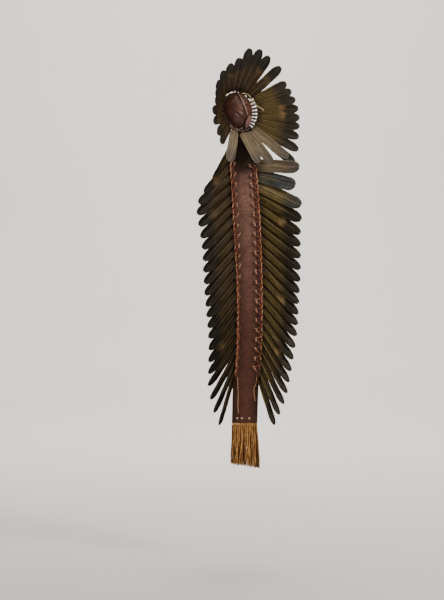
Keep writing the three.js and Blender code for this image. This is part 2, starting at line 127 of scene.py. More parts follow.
def smooth_from_table(rows: Sequence, key: str, place: float, column: str) -> float:
    """Reads one column of a table along a smooth curve through its rows.

    Args:
        rows: the table's rows, in rising order of key.
        key: name of the column that says where each row is.
        place: where to read.
        column: name of the column to read.

    Returns:
        The value there.
    """
    keys, values = (np.array([getattr(row, name) for row in rows]) for name in (key, column))
    slopes = np.gradient(values, keys)
    held = float(np.clip(place, keys[0], keys[-1]))
    i = min(max(int(np.searchsorted(keys, held)) - 1, 0), len(keys) - 2)
    run = keys[i + 1] - keys[i]
    t = (held - keys[i]) / run
    start = (1 + 2 * t) * (1 - t) ** 2 * values[i] + t * (1 - t) ** 2 * run * slopes[i]
    end = t * t * (3 - 2 * t) * values[i + 1] + t * t * (t - 1) * run * slopes[i + 1]
    return float(start + end + (place - held) * slopes[0 if place < held else -1])


def spline(points: np.ndarray, count: int) -> np.ndarray:
    """Runs a smooth curve through points.

    Args:
        points: the points, one a row.
        count: how many points the curve gets.

    Returns:
        Points of the curve, evenly spaced in the points' own steps.
    """
    padded = np.vstack([2 * points[0] - points[1], points, 2 * points[-1] - points[-2]])
    stations = np.linspace(0, len(points) - 1 - 1e-9, count)
    made = []
    for station in stations:
        i = int(station)
        t = station - i
        a, b, c, d = padded[i:i + 4]
        made.append(0.5 * (2 * b + (c - a) * t + (2 * a - 5 * b + 4 * c - d) * t ** 2
                           + (3 * b - a - 3 * c + d) * t ** 3))
    return np.array(made)


def wander(stations: np.ndarray, seed: float, scale: float) -> np.ndarray:
    """A smooth, repeatable wandering value between about -1 and 1.

    Args:
        stations: where to read it.
        seed: picks one of many wanderings.
        scale: how many swings a unit of station has.

    Returns:
        The value at each station.
    """
    turns = 2 * math.pi * scale
    return (np.sin(turns * stations + 12.9 * seed) * 0.5
            + np.sin(turns * 1.73 * stations + 78.2 * seed + 1.3) * 0.3
            + np.sin(turns * 3.1 * stations + 37.7 * seed + 4.1) * 0.2)


# Meshes


class Mesher:
    """Collects the points and faces of one piece, then makes it an object.

    Each point keeps its place on the piece: across, along and a number of its own strand.
    """

    def __init__(self) -> None:
        """Starts with nothing."""
        self.points: list[np.ndarray] = []
        self.places: list[np.ndarray] = []
        self.faces: list[tuple[int, ...]] = []
        self.finishes: list[int] = []
        self.count = 0

    def add(self, points: np.ndarray, places: np.ndarray, faces: list, finish: int) -> None:
        """Adds points and the faces between them.

        Args:
            points: one point a row.
            places: the place of each point.
            faces: lists of rows of points.
            finish: number of the material slot.
        """
        self.points.append(points)
        self.places.append(places)
        self.faces.extend(tuple(int(i) + self.count for i in face) for face in faces)
        self.finishes.extend([finish] * len(faces))
        self.count += len(points)

    def add_sheet(self, grid: np.ndarray, places: np.ndarray, thickness: np.ndarray | float,
                  finish: int = 0, keep: np.ndarray | None = None, wrap: bool = False) -> None:
        """Adds a sheet with a thickness and closed edges.

        Args:
            grid: points in rows and columns.
            places: the place of each point, in the same rows and columns.
            thickness: the sheet's thickness, one for all points or one each.
            finish: number of the material slot.
            keep: which faces of the grid there are; all of them when left out.
            wrap: whether the last column joins the first.
        """
        rows, columns = grid.shape[:2]
        points = grid.reshape(-1, 3)
        number = np.arange(rows * columns).reshape(rows, columns)
        beside = np.roll(number, -1, axis=1)
        low, high = (number[:-1], number[1:]) if wrap else (number[:-1, :-1], number[1:, :-1])
        low_next, high_next = ((beside[:-1], beside[1:]) if wrap
                               else (number[:-1, 1:], number[1:, 1:]))
        quads = np.stack([low, low_next, high_next, high], axis=-1)
        faces = (quads if keep is None else quads[keep]).reshape(-1, 4)
        corners = points[faces]
        normals = np.cross(corners[:, 2] - corners[:, 0], corners[:, 3] - corners[:, 1])
        at_point = np.zeros_like(points)
        for corner in range(4):
            np.add.at(at_point, faces[:, corner], normals)
        lengths = np.linalg.norm(at_point, axis=1, keepdims=True)
        out = at_point / np.where(lengths > 0, lengths, 1)
        half = np.broadcast_to(np.asarray(thickness, float).reshape(-1, 1) / 2, (len(points), 1))
        front, back = points + out * half, points - out * half
        count = len(points)
        edges: dict[tuple[int, int], tuple[int, int]] = {}
        for face in faces.tolist():
            for a, b in zip(face, face[1:] + face[:1]):
                if (b, a) in edges:
                    del edges[(b, a)]
                else:
                    edges[(a, b)] = (a, b)
        rim = [(b, a, a + count, b + count) for a, b in edges.values()]
        backs = (faces[:, ::-1] + count).tolist()
        used = np.unique(faces)
        fresh = np.full(2 * count, -1)
        fresh[used] = np.arange(len(used))
        fresh[used + count] = np.arange(len(used)) + len(used)
        both = np.vstack([front[used], back[used]])
        flat = places.reshape(-1, 3)[used]
        every = [[fresh[i] for i in face] for face in [*faces.tolist(), *backs, *rim]]
        self.add(both, np.vstack([flat, flat]), every, finish)

    def add_tube(self, path: np.ndarray, radii: np.ndarray | float, sides: int, finish: int = 0,
                 seed: float = 0.0, flat: float = 1.0, up: np.ndarray | None = None) -> None:
        """Adds a closed tube along a path.

        Args:
            path: points of its centre line.
            radii: one radius, or one for each point.
            sides: how many sides it has.
            finish: number of the material slot.
            seed: the strand's own number, kept in the places.
            flat: height of the section as a share of its width.
            up: direction of the section's height at the start.
        """
        steps = len(path)
        sizes = np.broadcast_to(np.asarray(radii, float), (steps,))
        along = np.gradient(path, axis=0)
        along /= np.linalg.norm(along, axis=1, keepdims=True)
        first = np.array([0.0, -1.0, 0.0]) if up is None else up
        if abs(along[0] @ first) > 0.95:
            first = np.array([1.0, 0.0, 0.0])
        angles = np.arange(sides) * 2 * math.pi / sides
        rings, places = [], []
        for i in range(steps):
            first = unit(first - along[i] * (along[i] @ first))
            second = np.cross(along[i], first)
            ring = (path[i] + sizes[i] * (np.outer(np.sin(angles), second)
                                          + flat * np.outer(np.cos(angles), first)))
            rings.append(ring)
            place = [np.cos(angles), np.full(sides, i / (steps - 1)), np.full(sides, seed)]
            places.append(np.stack(place, 1))
        faces = []
        for i in range(steps - 1):
            for j in range(sides):
                a, b = i * sides + j, i * sides + (j + 1) % sides
                faces.append((a, a + sides, b + sides, b))
        faces.append(tuple(range(sides)))
        faces.append(tuple(range((steps - 1) * sides, steps * sides))[::-1])
        self.add(np.vstack(rings), np.vstack(places), faces, finish)

    def to_object(self, name: str, materials: Sequence[Material]) -> bpy.types.Object:
        """Makes the object and links it into the scene.

        Args:
            name: the piece's name.
            materials: its material slots.

        Returns:
            The new object, at the origin.
        """
        mesh = bpy.data.meshes.new(name)
        mesh.from_pydata(np.vstack(self.points).tolist(), [], self.faces)
        mesh.polygons.foreach_set("material_index", self.finishes)
        mesh.polygons.foreach_set("use_smooth", [True] * len(self.faces))
        attribute = mesh.attributes.new(PLACE, "FLOAT_VECTOR", "POINT")
        attribute.data.foreach_set("vector", np.vstack(self.places).astype(np.float32).ravel())
        for material in materials:
            mesh.materials.append(material)
        mesh.validate()
        mesh.update()
        made = bpy.data.objects.new(name, mesh)
        bpy.context.scene.collection.objects.link(made)
        return made


def settle(piece: bpy.types.Object, slot: str, *nodes: str) -> bpy.types.Object:
    """Rides a piece on the body and hides the solids that it stands for.

    Args:
        piece: the finished object.
        slot: name of the piece's material slot; not used.
        nodes: names of the solids.

    Returns:
        The same object.
    """
    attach(piece, "root")
    if nodes:
        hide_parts(*nodes)
    LOG.info("%s: %d faces", piece.name, len(piece.data.polygons) if piece.type == "MESH" else 0)
    return piece


# Finishes


class Bench:
    """A new material's node tree, with short ways to add and join nodes."""

    def __init__(self, name: str) -> None:
        """Makes the material with a Principled shader on its output.

        Args:
            name: the material's name.
        """
        self.material = bpy.data.materials.new(name)
        self.material.use_nodes = True
        self.tree = self.material.node_tree
        self.tree.nodes.clear()
        output = self.tree.nodes.new("ShaderNodeOutputMaterial")
        self.shader = self.tree.nodes.new("ShaderNodeBsdfPrincipled")
        self.tree.links.new(self.shader.outputs["BSDF"], output.inputs["Surface"])

    def feed(self, socket: Socket, value: object) -> None:
        """Links a socket to another, or sets its value.

        Args:
            socket: the input that is fed.
            value: an output to link, or a plain value.
        """
        if isinstance(value, Socket):
            self.tree.links.new(value, socket)
        elif isinstance(value, tuple) and socket.type == "RGBA":
            socket.default_value = (*value[:3], 1.0)
        else:
            socket.default_value = value

    def shade(self, **values: object) -> None:
        """Feeds the shader's sockets, named with underscores for spaces."""
        for name, value in values.items():
            self.feed(self.shader.inputs[name.replace("_", " ")], value)

    def math(self, operation: str, *values: object) -> Socket:
        """Adds a Math node.

        Args:
            operation: what the node does.
            values: its inputs, outputs to link or numbers.

        Returns:
            Its result.
        """
        node = self.tree.nodes.new("ShaderNodeMath")
        node.operation = operation
        for socket, value in zip(node.inputs, values):
            self.feed(socket, value)
        return node.outputs[0]

    def place(self) -> tuple[Socket, ...]:
        """Reads the place that each point of a piece keeps.

        Returns:
            The across, the along and the strand number.
        """
        node = self.tree.nodes.new("ShaderNodeAttribute")
        node.attribute_name = PLACE
        split = self.tree.nodes.new("ShaderNodeSeparateXYZ")
        self.feed(split.inputs[0], node.outputs["Vector"])
        return tuple(split.outputs)

    def vector(self, x: object, y: object, z: object) -> Socket:
        """Joins three values into a vector.

        Args:
            x: the first value.
            y: the second value.
            z: the third value.

        Returns:
            The vector.
        """
        node = self.tree.nodes.new("ShaderNodeCombineXYZ")
        for socket, value in zip(node.inputs, (x, y, z)):
            self.feed(socket, value)
        return node.outputs[0]

    def position(self) -> Socket:
        """Returns the place in the part's frame, in metres."""
        return self.tree.nodes.new("ShaderNodeTexCoord").outputs["Object"]

    def noise(self, where: Socket, scale: float, detail: float = 3.0,
              roughness: float = 0.5) -> Socket:
        """Adds a Noise node.

        Args:
            where: the place that it is read at.
            scale: how fine it is.
            detail: how many finer layers it has.
            roughness: how strong the finer layers are.

        Returns:
            Its value.
        """
        node = self.tree.nodes.new("ShaderNodeTexNoise")
        self.feed(node.inputs["Vector"], where)
        node.inputs["Scale"].default_value = scale
        node.inputs["Detail"].default_value = detail
        node.inputs["Roughness"].default_value = roughness
        return node.outputs["Fac"]

    def cells(self, where: Socket, scale: float) -> Socket:
        """Adds a Voronoi node.

        Args:
            where: the place that it is read at.
            scale: how fine its cells are.

        Returns:
            The distance to the nearest cell's middle.
        """
        node = self.tree.nodes.new("ShaderNodeTexVoronoi")
        self.feed(node.inputs["Vector"], where)
        node.inputs["Scale"].default_value = scale
        return node.outputs["Distance"]

    def ramp(self, value: Socket, *stops: tuple[float, Colour]) -> Socket:
        """Adds a Color Ramp.

        Args:
            value: what picks the place on the ramp.
            stops: each stop's place and colour.

        Returns:
            Its colour.
        """
        node = self.tree.nodes.new("ShaderNodeValToRGB")
        elements = node.color_ramp.elements
        while len(elements) < len(stops):
            elements.new(0.5)
        for element, (at, colour) in zip(elements, stops):
            element.position = at
            element.color = (*colour, 1.0)
        self.feed(node.inputs["Fac"], value)
        return node.outputs["Color"]

    def level(self, value: Socket, low: float, high: float, to_low: float,
              to_high: float) -> Socket:
        """Maps a value from one range to another, held at both ends.

        Args:
            value: the value.
            low: start of its range.
            high: end of its range.
            to_low: what the start becomes.
            to_high: what the end becomes.

        Returns:
            The mapped value.
        """
        node = self.tree.nodes.new("ShaderNodeMapRange")
        for name, number in zip(("From Min", "From Max", "To Min", "To Max"),
                                (low, high, to_low, to_high)):
            node.inputs[name].default_value = number
        self.feed(node.inputs["Value"], value)
        return node.outputs["Result"]

    def mix(self, share: object, first: object, second: object, blend: str = "MIX") -> Socket:
        """Mixes two colours.

        Args:
            share: the second colour's share.
            first: the colour at share 0.
            second: the colour at share 1.
            blend: how they mix.

        Returns:
            The mix.
        """
        node = self.tree.nodes.new("ShaderNodeMix")
        node.data_type = "RGBA"
        node.blend_type = blend
        self.feed(node.inputs["Factor"], share)
        self.feed(node.inputs[6], first)
        self.feed(node.inputs[7], second)
        return node.outputs[2]

    def bump(self, height: Socket, strength: float, distance: float,
             below: Socket | None = None) -> Socket:
        """Adds a Bump node.

        Args:
            height: the height that it reads.
            strength: how strong it is.
            distance: what a height of one stands for.
            below: normal of a coarser bump, if there is one.

        Returns:
            Its normal.
        """
        node = self.tree.nodes.new("ShaderNodeBump")
        node.inputs["Strength"].default_value = strength
        node.inputs["Distance"].default_value = distance
        self.feed(node.inputs["Height"], height)
        if below is not None:
            self.feed(node.inputs["Normal"], below)
        return node.outputs["Normal"]

    def times(self, first: object, second: object) -> Socket:
        """Returns the product of two values."""
        return self.math("MULTIPLY", first, second)

    def lit(self, tone: Socket, light: Socket) -> Socket:
        """Returns a colour made lighter or darker by a value."""
        return self.mix(1.0, tone, self.vector(light, light, light), "MULTIPLY")


@dataclass(frozen=True)
class FeatherFinish:
    """Patina of a vane: an inner colour, a border, and a dark outer end, streaked by barbs.

    Change is the share of the vane's length at which the outer end starts, edge how strongly the
    rim takes the border's colour. Slope is how far back the barbs run, barbs how many there are.
    The darker colour at the vane's root is painted shade where the feathers crowd together.
    """

    name: str
    root_shade: Colour
    inner: Colour
    border: Colour
    outer: Colour
    tip: Colour
    change: float = 0.6
    metallic: float = 0.15
    roughness: float = 0.42
    specular: float = 0.22
    edge: float = 0.16
    slope: float = 0.13
    barbs: float = 46.0
    fine_barbs: float = 420.0
    bordered: tuple[float, float] = (0.8, 0.95)

    def material(self) -> Material:
        """Makes the vane's material.

        Returns:
            The material.
        """
        bench = Bench(self.name)
        across, along, seed = bench.place()
        aside = bench.math("ABSOLUTE", across)
        barb = bench.math("SUBTRACT", along, bench.times(aside, self.slope))
        own = bench.times(seed, 40.0)
        barbs = bench.noise(bench.vector(bench.times(barb, self.barbs), bench.times(across, 0.9),
                                         own), 1.0, 4.0, 0.65)
        streak = bench.noise(bench.vector(bench.times(along, 1.7), bench.times(across, 3.6), own),
                             1.0, 3.0, 0.6)
        patch = bench.noise(bench.vector(bench.times(along, 3.0), across, own), 1.3, 3.0)
        shift = bench.times(bench.math("SUBTRACT", patch, 0.5), 0.3)
        fray = bench.times(bench.math("SUBTRACT", barbs, 0.5), 0.1)
        where = bench.math("ADD", bench.math("ADD", along, shift), fray)
        inner_end, dark_start = self.change - 0.14, self.change + 0.1
        # The first stop darkens the vane at its root: painted shade.
        plain = bench.ramp(where, (0.0, self.root_shade), (0.18, self.inner), (inner_end, self.inner),
                           (dark_start, self.outer), (1.0, self.tip))
        lined = bench.ramp(where, (0.0, self.root_shade), (0.18, self.inner), (inner_end, self.inner),
                           (self.change - 0.02, self.border), (dark_start, self.outer),
                           (1.0, self.tip))
        draw = bench.math("SINE", bench.times(seed, 91.0))
        picked = bench.level(draw, *self.bordered, 0.0, 1.0)
        tone = bench.mix(picked, plain, lined)
        light = bench.times(bench.level(streak, 0.32, 0.68, 0.5, 1.55),
                            bench.level(barbs, 0.3, 0.7, 0.82, 1.18))
        toned = bench.lit(tone, light)
        worn = bench.mix(bench.level(aside, 0.9, 1.0, 0.0, self.edge), toned, self.border)
        colour = bench.mix(bench.level(aside, 0.02, 0.12, 0.22, 0.0), worn, self.border)
        fine = bench.math("SINE", bench.times(barb, self.fine_barbs))
        ridges = bench.bump(fine, 0.22, 0.25 * MM)
        normal = bench.bump(barbs, 0.4, 0.6 * MM, ridges)
        bench.shade(Base_Color=colour, Metallic=self.metallic, Specular_IOR_Level=self.specular,
                    Roughness=bench.level(patch, 0.3, 0.7, self.roughness - 0.08,
                                          self.roughness + 0.12),
                    Normal=normal)
        return bench.material


@dataclass(frozen=True)
class QuillFinish:
    """Horny shaft of a feather, darker at its bare stub."""

    name: str
    stub: Colour
    shaft: Colour
    roughness: float = 0.38

    def material(self) -> Material:
        """Makes the quill's material.

        Returns:
            The material.
        """
        bench = Bench(self.name)
        along = bench.place()[1]
        spots = bench.noise(bench.position(), 900.0, 3.0)
        tone = bench.ramp(along, (0.0, self.stub), (0.12, self.stub), (0.24, self.shaft),
                          (0.55, self.shaft), (0.78, self.stub))
        light = bench.level(spots, 0.3, 0.7, 0.7, 1.25)
        bench.shade(Base_Color=bench.lit(tone, light), Metallic=0.15, Roughness=self.roughness,
                    Normal=bench.bump(spots, 0.3, 0.2 * MM))
        return bench.material


@dataclass(frozen=True)
class LeatherFinish:
    """Oiled leather cast and painted: grain, creases and a worn sheen.

    Foot and head are colours for the bottom and the top of a long strip, between the heights
    given for them; the near-black head is painted shade where the strip runs under the crown.
    Edges is how much darker the leather is where a point's across is one, and half as much lighter
    where it is near nought: painted light and shade, on the band a highlight down its middle and
    shade at its rounded edges, on the cap shade in its creases.
    """

    name: str
    light: Colour
    dark: Colour
    grain: float
    roughness: float
    metallic: float = 0.2
    coat: float = 0.2
    foot: Colour | None = None
    head: Colour | None = None
    edges: float = 0.0
    specular: float = 0.5
    foot_heights: tuple[float, float] = (-340 * MM, -150 * MM)
    top_shade_heights: tuple[float, float] = (-115 * MM, -75 * MM)

    def material(self) -> Material:
        """Makes the leather's material.

        Returns:
            The material.
        """
        bench = Bench(self.name)
        where = bench.position()
        cloud = bench.noise(where, 45.0, 5.0, 0.6)
        mottle = bench.noise(where, 260.0, 4.0, 0.6)
        pores = bench.cells(where, self.grain)
        tone = bench.ramp(cloud, (0.3, self.dark), (0.68, self.light))
        if self.foot is not None:
            split = bench.tree.nodes.new("ShaderNodeSeparateXYZ")
            bench.feed(split.inputs[0], where)
            height = split.outputs[2]
            tone = bench.mix(bench.level(height, *self.foot_heights, 0.85, 0.0), tone, self.foot)
            # Painted shade: the strip's top goes near black where it runs under the crown.
            tone = bench.mix(bench.level(height, *self.top_shade_heights, 0.0, 0.93), tone, self.head)
        aside = bench.math("ABSOLUTE", bench.place()[0])
        # Painted light and shade: lighter where the across is near nought, darker towards one.
        light = bench.times(bench.level(mottle, 0.3, 0.7, 0.72, 1.3),
                            bench.level(aside, 0.1, 1.0, 1.0 + self.edges / 2, 1.0 - self.edges))
        grained = bench.bump(pores, 0.28, 0.3 * MM)
        normal = bench.bump(mottle, 0.4, 0.7 * MM, grained)
        bench.shade(Base_Color=bench.lit(tone, light), Metallic=self.metallic,
                    Coat_Weight=self.coat, Coat_Roughness=0.3,
                    Specular_IOR_Level=self.specular, Normal=normal,
                    Roughness=bench.level(mottle, 0.3, 0.7, self.roughness - 0.07,
                                          self.roughness + 0.12))
        return bench.material


@dataclass(frozen=True)
class StrandFinish:
    """Twisted or cut strands, each with a tone of its own."""

    name: str
    light: Colour
    middle: Colour
    dark: Colour
    roughness: float = 0.5
    fibre: float = 1400.0
    specular: float = 0.25

    def material(self) -> Material:
        """Makes the strands' material.

        Returns:
            The material.
        """
        bench = Bench(self.name)
        _, along, seed = bench.place()
        where = bench.position()
        fibres = bench.noise(where, self.fibre, 3.0, 0.6)
        cloud = bench.noise(bench.vector(bench.times(along, 9.0), bench.times(seed, 30.0), 0.0),
                            1.0, 2.0)
        mixed = bench.math("ADD", bench.times(cloud, 0.6), bench.times(fibres, 0.4))
        colour = bench.ramp(mixed, (0.34, self.dark), (0.48, self.middle), (0.66, self.light))
        bench.shade(Base_Color=colour, Roughness=self.roughness, Metallic=0.05,
                    Specular_IOR_Level=self.specular, Normal=bench.bump(fibres, 0.4, 0.2 * MM))
        return bench.material


@dataclass(frozen=True)
class SmoothFinish:
    """Smooth satin surface, lightly clouded and scratched."""

    name: str
    light: Colour
    dark: Colour
    roughness: float
    metallic: float = 0.2
    scale: float = 160.0

    def material(self) -> Material:
        """Makes the surface's material.

        Returns:
            The material.
        """
        bench = Bench(self.name)
        where = bench.position()
        cloud = bench.noise(where, self.scale, 4.0, 0.6)
        fine = bench.noise(where, self.scale * 7, 3.0, 0.6)
        bench.shade(Base_Color=bench.ramp(cloud, (0.32, self.dark), (0.66, self.light)),
                    Metallic=self.metallic, Normal=bench.bump(fine, 0.25, 0.25 * MM),
                    Roughness=bench.level(fine, 0.3, 0.7, self.roughness - 0.06,
                                          self.roughness + 0.1))
        return bench.material


@dataclass
class Finishes:
    """Every material of the headdress, made once."""

    vanes: dict[Plume, Material] = field(init=False)
    quills: dict[Plume, Material] = field(init=False)
    cap: Material = field(init=False)
    band: Material = field(init=False)
    hem: Material = field(init=False)
    thong: Material = field(init=False)
    edging: Material = field(init=False)
    knot: Material = field(init=False)
    binding: Material = field(init=False)
    thread: Material = field(init=False)
    fringe: Material = field(init=False)
    fringe_shade: Material = field(init=False)
    stud: Material = field(init=False)
    rod: Material = field(init=False)
    pad: Material = field(init=False)
    quill_rod: Material = field(init=False)

    def __post_init__(self) -> None:
        """Makes each material from its finish."""
        dark = FeatherFinish("vane_dark", root_shade=(0.022, 0.013, 0.006), inner=(0.078, 0.053, 0.016),
                             border=(0.19, 0.115, 0.045), outer=(0.023, 0.017, 0.010),
                             tip=(0.028, 0.023, 0.017))
        # A darker copy of the dark vane: painted shade on the crown's left and upper fans.
        crown_shade = FeatherFinish("vane_crown_shade", root_shade=(0.014, 0.008, 0.004), inner=(0.036, 0.023, 0.009),
                              border=(0.080, 0.050, 0.022), outer=(0.014, 0.011, 0.007),
                              tip=(0.020, 0.017, 0.014))
        olive = FeatherFinish("vane_olive", root_shade=(0.018, 0.011, 0.005), inner=(0.060, 0.041, 0.012),
                              border=(0.16, 0.10, 0.042), outer=(0.018, 0.013, 0.008),
                              tip=(0.021, 0.017, 0.012), specular=0.1, edge=0.4)
        # A darker copy of the olive vane: painted shade on the trail's left side.
        shaded = FeatherFinish("vane_shaded", root_shade=(0.012, 0.007, 0.003),
                               inner=(0.031, 0.020, 0.007), border=(0.085, 0.053, 0.023),
                               outer=(0.012, 0.009, 0.006), tip=(0.015, 0.012, 0.009),
                               specular=0.09, edge=0.4)
        nape = FeatherFinish("vane_nape", root_shade=(0.112, 0.084, 0.053), inner=(0.145, 0.110, 0.066),
                             border=(0.19, 0.14, 0.085), outer=(0.098, 0.076, 0.054),
                             tip=(0.070, 0.058, 0.048), change=0.66, specular=0.16)
        grey = FeatherFinish("vane_grey", root_shade=(0.03, 0.024, 0.013), inner=(0.060, 0.052, 0.037),
                             border=(0.12, 0.105, 0.085), outer=(0.047, 0.048, 0.049),
                             tip=(0.060, 0.061, 0.061), change=0.42, specular=0.16, edge=0.4)
        gold = FeatherFinish("vane_gold", root_shade=(0.035, 0.022, 0.009), inner=(0.112, 0.079, 0.029),
                             border=(0.24, 0.165, 0.08), outer=(0.042, 0.037, 0.030),
                             tip=(0.062, 0.061, 0.058), change=0.66, specular=0.16, edge=0.4)
        finishes = {Plume.DARK: dark, Plume.CROWN_SHADE: crown_shade, Plume.OLIVE: olive, Plume.SHADED: shaded,
                    Plume.NAPE: nape, Plume.GREY: grey, Plume.GOLD: gold}
        self.vanes = {plume: finish.material() for plume, finish in finishes.items()}
        common = QuillFinish("quill_dark", stub=(0.030, 0.015, 0.010),
                             shaft=(0.17, 0.12, 0.055)).material()
        pale = QuillFinish("quill_pale", stub=(0.16, 0.10, 0.065),
                           shaft=(0.28, 0.22, 0.14)).material()
        # A darker copy of the common quill: painted shade, for the feathers with shaded vanes.
        shaded_quill = QuillFinish("quill_shaded", stub=(0.022, 0.012, 0.008),
                          shaft=(0.085, 0.058, 0.028)).material()
        self.quills = {Plume.DARK: common, Plume.CROWN_SHADE: shaded_quill, Plume.OLIVE: common, Plume.SHADED: shaded_quill,
                       Plume.NAPE: pale, Plume.GREY: common, Plume.GOLD: pale}
        # The cap's edges darken its leather in the creases: painted shade.
        self.cap = LeatherFinish("cap_leather", light=(0.088, 0.033, 0.021),
                                 dark=(0.029, 0.012, 0.008), grain=900.0, roughness=0.38,
                                 coat=0.1, edges=0.8, specular=0.3).material()
        # The band's head colour is painted shade under the crown; its edges give a painted
        # highlight down the middle and painted shade at the rounded edges.
        self.band = LeatherFinish("band_leather", light=(0.190, 0.099, 0.073),
                                  dark=(0.116, 0.057, 0.042), grain=1100.0, roughness=0.42,
                                  coat=0.04, foot=(0.056, 0.016, 0.009),
                                  head=(0.014, 0.008, 0.005), edges=0.4, specular=0.2).material()
        self.hem = LeatherFinish("hem_leather", light=(0.095, 0.026, 0.014),
                                 dark=(0.030, 0.009, 0.006), grain=1100.0,
                                 roughness=0.5).material()
        self.thong = StrandFinish("thong", light=(0.40, 0.16, 0.09), middle=(0.17, 0.038, 0.021),
                                  dark=(0.07, 0.014, 0.009)).material()
        self.edging = StrandFinish("edging", light=(0.70, 0.43, 0.26), middle=(0.48, 0.22, 0.11),
                                   dark=(0.12, 0.025, 0.014)).material()
        self.knot = StrandFinish("knot", light=(0.68, 0.46, 0.33), middle=(0.48, 0.25, 0.15),
                                 dark=(0.14, 0.04, 0.02)).material()
        self.binding = StrandFinish("binding", light=(0.10, 0.035, 0.02),
                                    middle=(0.05, 0.018, 0.012),
                                    dark=(0.02, 0.008, 0.006)).material()
        self.thread = StrandFinish("thread", light=(0.24, 0.21, 0.19), middle=(0.14, 0.12, 0.105),
                                   dark=(0.06, 0.045, 0.04)).material()
        self.fringe = StrandFinish("fringe_strands", light=(0.68, 0.40, 0.14),
                                   middle=(0.44, 0.21, 0.055), dark=(0.15, 0.052, 0.013),
                                   roughness=0.6).material()
        self.fringe_shade = StrandFinish("fringe_shade", light=(0.20, 0.085, 0.022),
                                         middle=(0.085, 0.030, 0.009), dark=(0.028, 0.010, 0.004),
                                         roughness=0.8).material()
        self.stud = SmoothFinish("stud_metal", light=(0.75, 0.55, 0.48), dark=(0.50, 0.33, 0.27),
                                 roughness=0.3, metallic=0.4, scale=700.0).material()
        self.rod = SmoothFinish("rod_patina", light=(0.38, 0.24, 0.19), dark=(0.21, 0.12, 0.095),
                                roughness=0.45, scale=420.0).material()
        self.pad = SmoothFinish("pad_patina", light=(0.24, 0.125, 0.115), dark=(0.16, 0.082, 0.075),
                                roughness=0.36, scale=120.0).material()
        self.quill_rod = SmoothFinish("quill_rod_patina", light=(0.46, 0.38, 0.20),
                                      dark=(0.28, 0.21, 0.10), roughness=0.42,
                                      scale=300.0).material()


# Feathers


@dataclass(frozen=True)
class FeatherSizes:
    """Sizes of one feather. Slant is how far before its foot the vane starts at one edge."""

    length: float
    width: float
    stub: float
    quill: float
    bow: float
    camber: float = 1.1 * MM
    slant: float = 0.0
    thickness: float = 0.5 * MM
    quill_tip: float = 0.5 * MM


